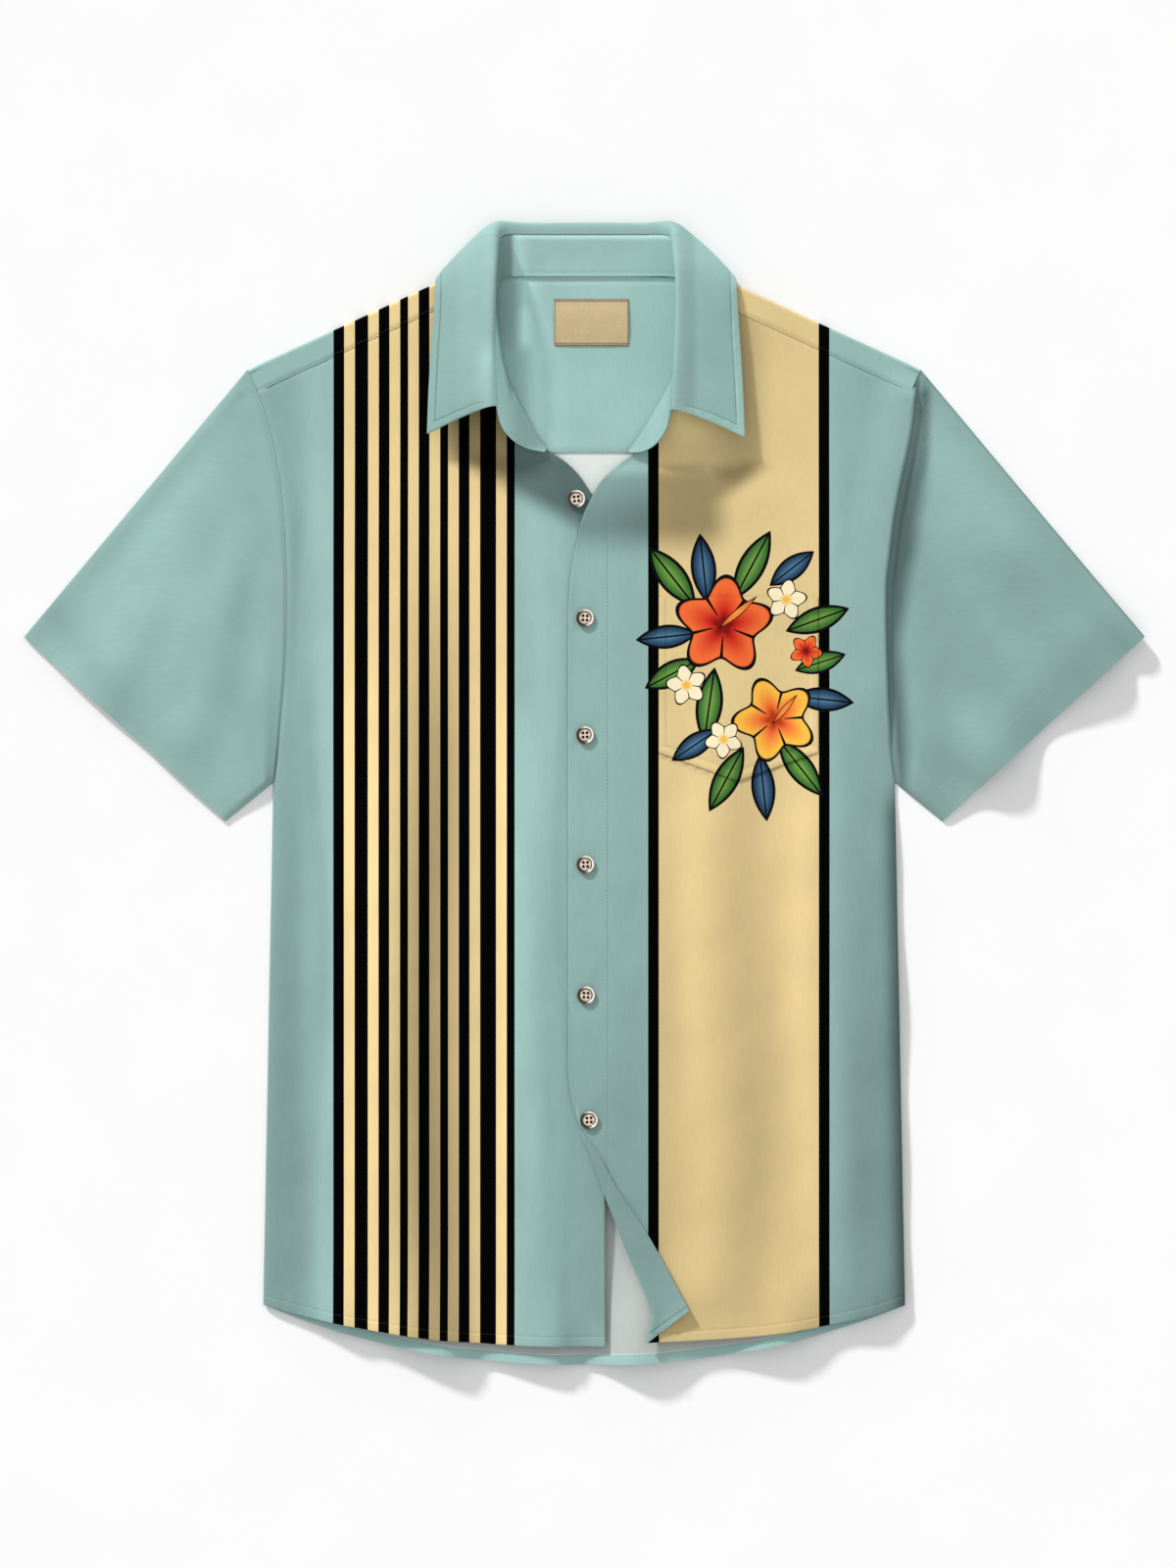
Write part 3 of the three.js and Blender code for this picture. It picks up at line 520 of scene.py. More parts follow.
def buttoned(x, y):
    """The pull of the buttons on the cloth round them."""
    total = 0
    for bx, by in BUTTONS[1:]:
        total = total - 0.5 * np.exp(-((x - bx) ** 2 + (y - by) ** 2) / BUTTON_PULL**2)
        for degrees, size in ((-38, 0.35), (204, 0.3), (78, 0.22)):
            along, across = turned(x, y, bx, by, degrees)
            reach = smooth(along, 3, 12) * (1 - smooth(along, 14, 40))
            total = total + size * reach * hill(across, 2.5 + 0.12 * np.abs(along))
    return total


def edge_lift(x, y):
    """How far the hem, and the wearer's left side, stand off the surface; all layers rise together."""
    along = 0.5
    for middle, left, right, rise in HEM_WAVES:
        along = along + rise * hill(x - middle, np.where(x < middle, left, right))
    inset = half_width(y) - np.abs(x)
    low = along * hill(y - hem_y(x, BACK_HEM), 50) * smooth(inset, -4, 24)
    side = (3.4 + 1.5 * uneven(y, y * 0.2, 70, 5.7)) * hill(inset, 30)
    return low + np.where(x > 0, side, 0.2 * side) * smooth(-y, -4, 50)


def hem_wave(x, y, hem, seed):
    """Slow waves and small puckers along a hem, with its stitched groove."""
    up = y - hem_y(x, hem)
    slow = (0.8 + 1.1 * uneven(x, x * 0.3, 40, seed)) * hill(up, 40)
    slow = slow * smooth(half_width(y) - np.abs(x), 0, 30)
    pucker = 0.16 * uneven(x, x * 0.4, 4.2, seed + 2) * hill(up - HEM_DEPTH, 6.5)
    band = 0.16 * smooth(up, -0.2, 0.8) * (1 - smooth(up, HEM_DEPTH - 0.6, HEM_DEPTH + 0.2))
    groove = -0.2 * hill(up - HEM_DEPTH, 0.8)
    return slow + pucker + band + groove


def body_mid(x, y, settings):
    """Height of the fronts' cloth before one laps over the other."""
    folds = np.where(x < 0, fold_rise(RIGHT_FOLDS, x, y), fold_rise(LEFT_FOLDS, x, y)) * settings.folds
    full = settings.fullness / MM
    inset = half_width(y) - np.abs(x)
    below = 1 - smooth(y, 0, 50)  # the side seam ends at the underarm
    calm = smooth(np.abs(x), 8, 34) * (1 - smooth(y, 175, 255)) * smooth(inset, 2, 24)
    dome = smooth(inset, 0, 40) * (0.45 + 0.55 * smooth(y, -390, -250)) * (1 - smooth(y, 130, 262))
    height = FRONT_MID + neck_lift(x, y) + full * dome + folds * calm
    height = height + 0.28 * uneven(x, y, 34, 1.3) * calm + 0.1 * uneven(x, y, 13, 2.1) * calm
    side = (1 - np.sqrt(np.clip(1 - (1 - np.clip(inset / 9, 0, 1)) ** 2, 0, 1))) * below
    return lerp(height, SEAM_MID, side) + edge_lift(x, y)


def right_mid(x, y, settings):
    """Height of the right front, with its armhole pressed down to the seam."""
    inset = half_width(y) - np.abs(x)
    seam = 1.0 * hill(inset, 2.4) * smooth(y, 6, 30)
    under = UNDER_YOKE * smooth(y - front_yoke_y(x), -1.2, 0.6)
    return body_mid(x, y, settings) + hem_wave(x, y, RIGHT_HEM, 1.0) - seam - under


def left_mid(x, y, settings):
    """Height of the left front: over the right one at the placket and over its sleeve at the armhole."""
    lap = LAP_STEP * (1 - smooth(x, *LAP_END))
    inset = half_width(y) + tuck_over(y) - x
    along = smooth(y, 14, 80) * (1 - smooth(y, 276, 300))
    ridge = 4.4 * along * (1 - smooth(inset, 4, 34))
    roll = edge_roll(inset, 2.2) * smooth(y, 8, 40)
    under = UNDER_YOKE * smooth(y - front_yoke_y(x), -1.2, 0.6)
    placket = -0.22 * hill(x - PLACKET_SEAM_X, 0.8) * (1 - smooth(y, 196, 214))
    return (
        body_mid(x, y, settings) + lap + ridge - roll - under + placket
        + buttoned(x, y) + hem_wave(x, y, LEFT_HEM, 2.6)
    )


def yoke_mid(x, y, settings):
    """Height of the part of the yoke that is turned over on to the fronts."""
    mid = np.where(x < 0, right_mid(x, y, settings), left_mid(x, y, settings))
    under = UNDER_YOKE * smooth(y - front_yoke_y(x), -1.2, 0.6)
    return mid + under + YOKE_STEP


def around(left, right, bottom, top, s, v):
    """Points on a panel between two upright edges and two level ones. v holds distances above the hem,
    which are kept near the hem and stretched above it."""
    x = lerp(left(0.0), right(0.0), s)
    for _ in range(14):
        low = bottom(x)
        y = low + np.minimum(v, KEPT) + np.maximum(v - KEPT, 0) * (top(x) - low - KEPT) / (v.max() - KEPT)
        x = lerp(left(y), right(y), s)
    return x, y


def close_at_ends(count, pull=0.72):
    """Shares from 0 to 1 that lie closer together near both ends."""
    t = np.linspace(0, 1, count + 1)
    return t - pull * np.sin(2 * math.pi * t) / (2 * math.pi)


def rows_up(tall, step):
    """Distances up from a hem, close together along its stitching."""
    low = [0, 0.5, 1, 2, 3.2, 4.4, 5.2, 5.8, 6.2, 6.5, 6.8, 7.2, 7.8, 8.6, 9.8, 11.4, 13.4, 15.6, 17.8, KEPT]
    high = KEPT + (tall - KEPT) * (1 - (1 - np.linspace(0, 1, int((tall - KEPT) / step) + 1)[1:]))
    ends = [tall - 5.4, tall - 4.6, tall - 4, tall - 3.2, tall - 1.6]
    return np.array(sorted(set(low) | set(high.tolist()) | set(ends)))


# ---------------------------------------------------------------- making the pieces


def only(piece):
    """Makes the piece the one that is selected and active."""
    bpy.ops.object.select_all(action="DESELECT")
    piece.select_set(True)
    bpy.context.view_layer.objects.active = piece


def apply_place():
    bpy.ops.object.transform_apply(location=True, rotation=True, scale=True)


def face_outwards(merge=False):
    """Turns every face of the active piece outwards. merge first joins the points that meet."""
    bpy.ops.object.mode_set(mode="EDIT")
    bpy.ops.mesh.select_all(action="SELECT")
    if merge:
        bpy.ops.mesh.remove_doubles(threshold=0.01 * MM)
    bpy.ops.mesh.normals_make_consistent(inside=False)
    bpy.ops.object.mode_set(mode="OBJECT")


def pick(piece, kind, chosen):
    """Selects the faces or edges for which chosen is true, and stays in edit mode to shape them."""
    bpy.ops.object.mode_set(mode="EDIT")
    bpy.ops.mesh.select_mode(type=kind)
    bpy.ops.mesh.select_all(action="DESELECT")
    bpy.ops.object.mode_set(mode="OBJECT")
    for element in piece.data.polygons if kind == "FACE" else piece.data.edges:
        element.select = chosen(element)
    bpy.ops.object.mode_set(mode="EDIT")


def leave_edit():
    bpy.ops.mesh.select_mode(type="VERT")
    bpy.ops.object.mode_set(mode="OBJECT")


def cylinder(vertices, radius, depth, at):
    bpy.ops.object.select_all(action="DESELECT")
    bpy.ops.mesh.primitive_cylinder_add(vertices=vertices, radius=radius, depth=depth, location=at)
    apply_place()
    return bpy.context.active_object


def cloth_sheet(name, points, cut, painted_shading=None, closed=False):
    """Adds a grid and moves its points to the middle of a piece of cloth.

    points and cut are rows of columns: places in millimetres, and where each lies on the print."""
    rows, columns = points.shape[:2]
    bpy.ops.object.select_all(action="DESELECT")
    bpy.ops.mesh.primitive_grid_add(x_subdivisions=columns - 1, y_subdivisions=rows - 1, size=2)
    piece = bpy.context.active_object
    piece.name = piece.data.name = name
    mesh = piece.data
    flat = np.empty(len(mesh.vertices) * 3)
    mesh.vertices.foreach_get("co", flat)
    flat = flat.reshape(-1, 3)
    i = np.rint((flat[:, 0] + 1) / 2 * (columns - 1)).astype(int)
    j = np.rint((flat[:, 1] + 1) / 2 * (rows - 1)).astype(int)
    mesh.vertices.foreach_set("co", (points[j, i] * MM).ravel())
    # The piece's painted light and shade at each point, 1 where none is painted.
    painted_shadings = np.ones(len(i)) if painted_shading is None else np.broadcast_to(painted_shading, (rows, columns))[j, i]
    mesh.attributes.new("painted_shading", "FLOAT", "POINT").data.foreach_set("value", painted_shadings)
    owner = np.empty(len(mesh.loops), int)
    mesh.loops.foreach_get("vertex_index", owner)
    layer = mesh.uv_layers[0]
    layer.name = "cut"
    layer.data.foreach_set("uv", (cut[j, i] * MM)[owner].ravel())
    mesh.update()
    if closed:
        face_outwards(merge=True)
    return piece


def apply_modifier(piece, kind, **settings):
    only(piece)
    modifier = piece.modifiers.new(kind.title(), kind)
    for key, value in settings.items():
        setattr(modifier, key, value)
    bpy.ops.object.modifier_apply(modifier=modifier.name)


def thicken(piece, thick, reverse=0):
    """Gives a sheet its wall, with the material slot of its reverse."""
    apply_modifier(
        piece, "SOLIDIFY", thickness=thick, offset=0, use_even_offset=False, material_offset=reverse
    )
    face_outwards()
    bpy.ops.object.shade_smooth_by_angle(angle=math.radians(55))


def give(piece, *materials):
    for material in materials:
        piece.data.materials.append(material)


def finish_sheet(piece, materials, wall, slot, node):
    """Gives a sheet its materials, its wall and its place in the shirt. A second material is its reverse."""
    give(piece, *materials)
    thicken(piece, wall, reverse=len(materials) - 1)
    handed_over(piece, slot, node)


def handed_over(piece, slot, *nodes):
    """The piece stands for its CAD nodes and moves with the shirt."""
    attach(piece, "root")
    if nodes:
        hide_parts(*nodes)


# ---------------------------------------------------------------- materials


def add_node(tree, kind, inputs=None, **settings):
    """Adds one node. An input is a value, a socket, or a node whose first output is used."""
    node = tree.nodes.new("ShaderNode" + kind)
    for key, value in settings.items():
        setattr(node, key, value)
    for socket, source in (inputs or {}).items():
        if isinstance(source, bpy.types.Node):
            source = source.outputs[0]
        if isinstance(source, bpy.types.NodeSocket):
            tree.links.new(source, node.inputs[socket])
        else:
            node.inputs[socket].default_value = source
    return node


def new_material(name):
    material = bpy.data.materials.new(name)
    material.use_nodes = True
    material.node_tree.nodes.clear()
    return material, material.node_tree


def rgba(colour, share=1.0):
    return (*[c * share for c in colour], 1.0)


def maths(tree, operation, *values):
    return add_node(tree, "Math", dict(enumerate(values)), operation=operation)


def spread(tree, source, low, high, to_low, to_high):
    """Carries a value from one span to another, held at its ends."""
    return add_node(tree, "MapRange", {0: source, 1: low, 2: high, 3: to_low, 4: to_high})


def mixed(tree, share, under, over, blend="MIX"):
    """The colour at a share of the way from one colour to another."""
    node = add_node(tree, "Mix", {0: share, 6: under, 7: over}, data_type="RGBA", blend_type=blend)
    return node.outputs[2]


def framed(tree, spot, x, y, degrees, long, wide):
    """Coordinates that run from -1 to 1 over a place of the given half sizes in millimetres."""
    inputs = {0: spot, 1: (x * MM, y * MM, 0), 2: (0, 0, math.radians(degrees)), 3: (long * MM, wide * MM, 1)}
    return add_node(tree, "Mapping", inputs, vector_type="TEXTURE")


def finished(tree, inputs, constants):
    """Ends a material with its shader. The constants are set on the shader's own sockets."""
    shader = add_node(tree, "BsdfPrincipled", inputs)
    for socket, value in constants.items():
        shader.inputs[socket].default_value = value
    add_node(tree, "OutputMaterial", {0: shader})


def ramp_node(tree, source, stops, mode="LINEAR"):
    """A colour ramp with the given stops of share and colour."""
    node = add_node(tree, "ValToRGB", {0: source})
    node.color_ramp.interpolation = mode
    elements = node.color_ramp.elements
    while len(elements) > 1:
        elements.remove(elements[-1])
    for k, (share, colour) in enumerate(stops):
        element = elements[0] if k == 0 else elements.new(share)
        element.position = share
        element.color = colour
    return node


def striped(tree, spot, colours, to_the_fold=False):
    """Colour of the print across the shirt, with painted light and shade across the stripes low on the shirt,
    where the folds light and shade them.
    """
    across = add_node(tree, "SeparateXYZ", {0: spot})
    low, high = PRINT_SPAN
    share = spread(tree, across.outputs["X"], low * MM, high * MM, 0.0, 1.0)
    ground = {
        "teal": rgba(colours.teal), "cream": rgba(colours.cream, 1.03), "light": rgba(colours.cream, 1.12),
        "black": rgba(colours.black),
    }
    stops = [((x - low) / (high - low), ground[name]) for x, name in STRIPES]
    stripes = ramp_node(tree, share, stops, "CONSTANT")
    shades = [((x - low) / (high - low), rgba(WHITE, v)) for x, v in STRIPE_PAINTED_SHADING]
    # the painted light and shade at each X
    fade = ramp_node(tree, share, shades, "EASE")
    if to_the_fold:
        stripes = mixed(tree, maths(tree, "LESS_THAN", across.outputs["Y"], 0.0), stripes, ground["teal"])
    # The painted light and shade is full below Y 20 mm and falls to an eighth of it above Y 170 mm.
    along = spread(tree, across.outputs["Y"], 0.02, 0.17, 1.0, 0.12)
    return mixed(tree, along, stripes, fade, "MULTIPLY")


def leaf(tree, spot, ground, x, y, degrees, long, wide, colours):
    """A pointed leaf with a dark outline and a pale rib, printed over the ground."""
    inner, outer = (rgba(linear(colour)) for colour in colours)
    part = add_node(tree, "SeparateXYZ", {0: framed(tree, spot, x, y, degrees, long, wide)})
    bow = maths(tree, "MULTIPLY", part.outputs[0], part.outputs[0])
    side = maths(tree, "ABSOLUTE", part.outputs[1])
    field = maths(tree, "ADD", bow, side)
    fill = ramp_node(tree, field, [(0, inner), (0.72, outer), (0.8, INK)], "EASE")
    ribbed = mixed(tree, maths(tree, "LESS_THAN", side, 0.07), fill, INK)
    return mixed(tree, maths(tree, "LESS_THAN", field, 1.0), ground, ribbed)


def blossom(tree, spot, ground, x, y, degrees, size, colours):
    """A blossom of five petals with a dark outline between and round them, printed over the ground."""
    heart, petal, rim = (rgba(linear(colour)) for colour in colours)
    place = framed(tree, spot, x, y, degrees, size, size)
    part = add_node(tree, "SeparateXYZ", {0: place})
    reach = add_node(tree, "VectorMath", {0: place}, operation="LENGTH").outputs["Value"]
    angle = maths(tree, "ARCTAN2", part.outputs[1], part.outputs[0])
    wave = maths(tree, "COSINE", maths(tree, "MULTIPLY", angle, 5.0))
    field = maths(tree, "DIVIDE", reach, maths(tree, "MULTIPLY_ADD", wave, 0.17, 0.83))
    stops = [(0, heart), (0.16, heart), (0.34, petal), (0.8, rim), (0.9, rim), (0.93, INK)]
    fill = ramp_node(tree, field, stops)
    line = maths(
        tree, "MULTIPLY", maths(tree, "COMPARE", wave, -1.0, 0.035), maths(tree, "GREATER_THAN", reach, 0.22)
    )
    return mixed(tree, maths(tree, "LESS_THAN", field, 1.0), ground, mixed(tree, line, fill, INK))


def bouquet(tree, spot, ground):
    """A spray of garden flowers printed over the chest."""
    for row in LEAVES:
        ground = leaf(tree, spot, ground, *row)
    for row in BLOSSOMS:
        ground = blossom(tree, spot, ground, *row)
    for row in STAMENS:
        ground = leaf(tree, spot, ground, *row)
    return ground


def woven(name, paint, rough=0.74, sheen=0.004, thread=0.9, relief=0.05):
    """Plain-woven cloth. paint adds the colour's nodes and gives the socket.

    The threads of such cloth are 0.25 mm apart, which is too fine to show. They are drawn 0.9 mm apart."""
    material, tree = new_material(name)
    spot = add_node(tree, "UVMap", uv_map="cut")
    colour = paint(tree, spot)
    # The pieces' painted light and shade at their points, multiplied with the weave's random variation.
    painted_shading = add_node(tree, "Attribute", attribute_name="painted_shading")
    slubs = add_node(tree, "Mapping", {0: spot, 3: (420, 90, 1)})
    grain = add_node(tree, "TexNoise", {0: slubs, "Scale": 1.0, "Detail": 3.0, "Roughness": 0.6}).outputs[0]
    cloud = add_node(tree, "TexNoise", {0: spot, "Scale": 22.0, "Detail": 2.0, "Roughness": 0.5})
    fine = spread(tree, grain, 0.3, 0.7, 0.972, 1.028)
    broad = spread(tree, cloud, 0.3, 0.7, 0.975, 1.025)
    shade = maths(tree, "MULTIPLY", maths(tree, "MULTIPLY", fine, broad), painted_shading.outputs["Fac"])
    dyed = add_node(tree, "VectorMath", {0: colour, "Scale": shade}, operation="SCALE")
    pitch = 1 / (thread * MM)
    threads = add_node(tree, "Mapping", {0: spot, 3: (pitch, pitch, 1)})
    warp, weft = (
        add_node(tree, "TexWave", {0: threads, "Scale": 0.314, "Distortion": 0.4}, bands_direction=way)
        for way in "XY"
    )
    cloth = maths(tree, "MAXIMUM", warp.outputs["Fac"], weft.outputs["Fac"])
    height = maths(tree, "MULTIPLY_ADD", grain, 0.8, cloth)
    bump = add_node(tree, "Bump", {"Strength": 0.35, "Distance": relief * MM, "Height": height})
    finish = spread(tree, grain, 0.3, 0.7, rough - 0.04, rough + 0.05)
    finished(
        tree, {"Base Color": dyed.outputs[0], "Roughness": finish, "Normal": bump},
        {"Sheen Weight": sheen, "Sheen Roughness": 0.45, "Specular IOR Level": 0.02},
    )
    return material


def shirt_materials():
    """Makes the shirt's cloths once."""
    made = bpy.data.materials
    if "printed_poplin" not in made:
        c = bpy.context.scene.shirt_colours
        # Polyester and cotton poplin with a dyed-in print: smooth and close, with a faint sheen on its folds.
        woven("printed_poplin", lambda tree, spot: striped(tree, spot, c))
        # The stripes end at the shoulders' fold, and the back is plain.
        woven("yoke_print", lambda tree, spot: striped(tree, spot, c, to_the_fold=True))
        woven("printed_poplin_bouquet", lambda tree, spot: bouquet(tree, spot, striped(tree, spot, c)))
        woven("plain_poplin", lambda tree, spot: dye(tree, c.teal))
        # The reverse of the same cloth, where the print shows through as a grey white.
        woven("poplin_reverse", lambda tree, spot: dye(tree, c.reverse), rough=0.75, sheen=0.1)
        woven("front_reverse", lambda tree, spot: faced(tree, spot, c), rough=0.7, sheen=0.15)
    return {m.name: m for m in made}


def dye(tree, colour):
    """One dyed colour, which the weave's own noise and tone vary."""
    node = add_node(tree, "RGB")
    node.outputs[0].default_value = rgba(colour)
    return node.outputs[0]


def thread_twist(tree, turns, uneven_by):
    """The turns of a thread's twist, so many to a metre."""
    spot = add_node(tree, "TexCoord").outputs["Object"]
    inputs = {0: spot, "Scale": turns, "Distortion": uneven_by}
    return add_node(tree, "TexWave", inputs, bands_direction="DIAGONAL")


def faced(tree, spot, colours):
    """Reverse of a front: the teal facing along its edge, and bare cloth beyond it."""
    across = add_node(tree, "SeparateXYZ", {0: spot})
    beyond = maths(tree, "GREATER_THAN", maths(tree, "ABSOLUTE", across.outputs[0]), 58 * MM)
    # The facing's teal is drawn at 0.7 of the ground: painted shade on the turned-back strip.
    return mixed(tree, beyond, rgba(colours.teal, 0.7), rgba(colours.reverse))


# ---------------------------------------------------------------- pieces


class SHIRT_OT_back(bpy.types.Operator):
    """Back panel, lying flat, with its hem turned up on the inside"""

    bl_idname = "shirt.back"
    bl_label = "Back panel"

    def execute(self, context):
        cloth = context.scene.shirt_cloth
        shares = close_at_ends(104, 0.6)
        up = np.concatenate([[0, 0.6, 1.5, 3, 4.5, 5.6, 6.2, 6.5, 6.9, 7.4, 8.4, 10, 13, 16.5, 20],
                             np.linspace(20, 641.7 - GAP, 150)[1:]])
        s, v = np.meshgrid(shares, up)
        x, y = around(
            lambda y: -half_width(y), half_width, lambda x: hem_y(x, BACK_HEM),
            lambda x: BACK_YOKE_Y - GAP + 0 * x, s, v,
        )
        from_hem = y - hem_y(x, BACK_HEM)
        inset = half_width(y) - np.abs(x)
        z = REST_MID + 0.3 * np.exp(-((from_hem / 7) ** 4)) - 0.04 * hill(from_hem - HEM_DEPTH, 0.7)
        z = z + edge_lift(x, y)
        # Painted shade inside the front opening, darker towards the hem and near the sides; the hem band is
        # drawn lighter, painted light.
        shade = (1 - 0.4 * smooth(-y, 120, 380)) * (1 - 0.1 * smooth(60 - inset, 0, 60))
        shade = np.where(from_hem < 7, 1.1, shade)
        piece = cloth_sheet("back_panel_cloth", np.dstack([x, y, z]), np.dstack([x, y]), shade)
        made = shirt_materials()
        give(piece, made["poplin_reverse"], made["plain_poplin"])
        for polygon in piece.data.polygons:
            cx, cy = polygon.center.x / MM, polygon.center.y / MM
            polygon.material_index = 1 if cy - float(hem_y(cx, BACK_HEM)) < 7.0 else 0
        thicken(piece, cloth.ply, reverse=1)
        handed_over(piece, "shirt_cloth", "back_panel")
        return {"FINISHED"}


class SHIRT_OT_yoke(bpy.types.Operator):
    """Yoke, folded over the shoulders, and its facing inside"""

    bl_idname = "shirt.yoke"
    bl_label = "Yoke and facing"

    def execute(self, context):
        cloth = context.scene.shirt_cloth
        made = shirt_materials()
        self.yoke(cloth, made)
        self.facing(cloth, made)
        return {"FINISHED"}

    @staticmethod
    def out_to(share, edge):
        """Points at a share of the way out on the line that edge gives."""
        x = share * SHOULDER_TIP[0]
        for _ in range(10):
            x = share * half_width(edge(x))
        return x, edge(x)

    def under(self, share, f):
        x, y = self.out_to(share, lambda x: lerp(BACK_YOKE_Y, shoulder_y(x) - FOLD_ROOM, f))
        return x, y, REST_MID + neck_lift(x, y)

    def columns(self):
        """Shares across the yoke, with some at the cut of the neck."""
        left = (NECK_X - NECK_CUT["left"]) / SHOULDER_TIP[0]
        right = (NECK_X + NECK_CUT["right"]) / SHOULDER_TIP[0]
        out = [0.25 * (1 - (1 - t) ** 1.7) for t in np.linspace(0, 1, 12)]
        spans = ((-0.75, left, 44), (left, right, 36), (right, 0.75, 44))
        shares = {-1 + t for t in out} | {1 - t for t in out}
        shares.update(t for span in spans for t in np.linspace(*span))
        return left, right, np.array(sorted(shares))

    def yoke(self, cloth, made):
        _, _, shares = self.columns()
        rows, cuts = [], []
        for f in np.linspace(0, 1, 26):
            x, y, z = self.under(shares, f)
            rows.append(np.stack([x, y, z], 1))
            cuts.append(np.stack([x, -y], 1))
        x0, y0, z0 = x, y, z
        top = yoke_mid(x0, y0, cloth)
        radius = (top - z0) / 2
        for t in np.linspace(0, 1, 11)[1:]:
            turn = math.pi * t
            rows.append(np.stack([x0, y0 + radius * math.sin(turn), z0 + radius * (1 - math.cos(turn))], 1))
            cuts.append(np.stack([x0, np.sign(t - 0.25) * y0], 1))
        for f in (0.06, 0.14, 0.24, 0.34, 0.45, 0.56, 0.66, 0.75, 0.83, 0.88, 0.91, 0.94, 0.97, 1.0):
            x, y = self.out_to(shares, lambda x: lerp(shoulder_y(x) - FOLD_ROOM, front_yoke_y(x), f))
            up = y - front_yoke_y(x)
            seam = -0.2 * hill(up - YOKE_STITCH, 0.7) + 0.12 * uneven(x, y, 5, 7.7) * np.exp(-up / 5)
            seam = seam - 0.5 * hill(up, 1.3)
            inset = half_width(y) - np.abs(x)
            shoulder = edge_roll(inset, 1.4) * 0.8
            seam = seam + 0.35 * uneven(x, y, 6, 3.4) * hill(inset, 14) * smooth(inset, 0, 3)
            rows.append(np.stack([x, y, yoke_mid(x, y, cloth) + seam - shoulder], 1))
            cuts.append(np.stack([x, y], 1))
        piece = cloth_sheet("yoke_cloth", np.array(rows), np.array(cuts))

        def in_the_neck(polygon):
            x, y, z = polygon.center / MM
            turned_over = y > BACK_NECK_Y or z > REST_MID + float(neck_lift(x, y)) + 0.35
            room = 4.5 if y > 325 else 0
            return turned_over and NECK_X - NECK_CUT["left"] - room < x < NECK_X + NECK_CUT["right"] + room

        # the neck is cut out of what is turned over
        pick(piece, "FACE", in_the_neck)
        bpy.ops.mesh.delete(type="FACE")
        leave_edit()
        finish_sheet(
            piece, (made["poplin_reverse"], made["yoke_print"]), cloth.ply, "shirt_cloth", "back_yoke"
        )

    def facing(self, cloth, made):
        left, right, shares = self.columns()
        shares = shares[np.abs(shares) < 0.955]
        rows, cuts = [], []
        at_neck = smooth(shares, left - 0.012, left) * (1 - smooth(shares, right, right + 0.012))
        for f in np.linspace(0, 1, 46):
            x, y, z = self.under(shares, f * lerp(0.985, 1.015, at_neck))
            edge = y - BACK_YOKE_Y
            z = z + FACING_MID - 0.5 + 0.15 - edge_roll(edge, 1.0) * 0.6
            z = z + 0.1 * uneven(x, y, 26, 5.1) * smooth(edge, 2, 20)
            rows.append(np.stack([x, y, z], 1))
            cuts.append(np.stack([x, y], 1))
        points = np.array(rows)
        px, py = points[:, :, 0], points[:, :, 1]
        near_stand = smooth(12 - np.abs(BACK_NECK_Y - py), 0, 12)
        # painted light: the facing is drawn lighter all over and next to the stand, and lighter over part of
        # the collar's cast shadow; painted shade beside the stand's foot on -X
        high = smooth(px, -47.5, -43.5) * hill(np.maximum(px + 43, 0), 8.5)
        high = high * (1 - 0.35 * smooth(py, 338, 346)) * (1 - smooth(py, 357, 364))
        low = 0.54 * hill(px + 33, 9)
        soft = lerp(low, high, smooth(py, 306, 322))
        soft = soft + 0.2 * hill(px + 22, 8) * (1 - smooth(py, 280, 310))
        soft = soft + 0.26 * hill(px + 30, 6.5) * hill(py - 322, 11)
        soft = soft + 0.34 * hill(py - 360.3, 1.7) * smooth(px, -52, -44)
        soft = soft - 0.16 * (1 - smooth(px, -55, -46)) * smooth(py, 304, 322)
        piece = cloth_sheet(
            "yoke_facing_cloth", points, np.array(cuts), 1.16 + 0.02 * near_stand + soft
        )
        finish_sheet(
            piece, (made["plain_poplin"], made["poplin_reverse"]), cloth.ply, "plain_cloth", "yoke_facing"
        )


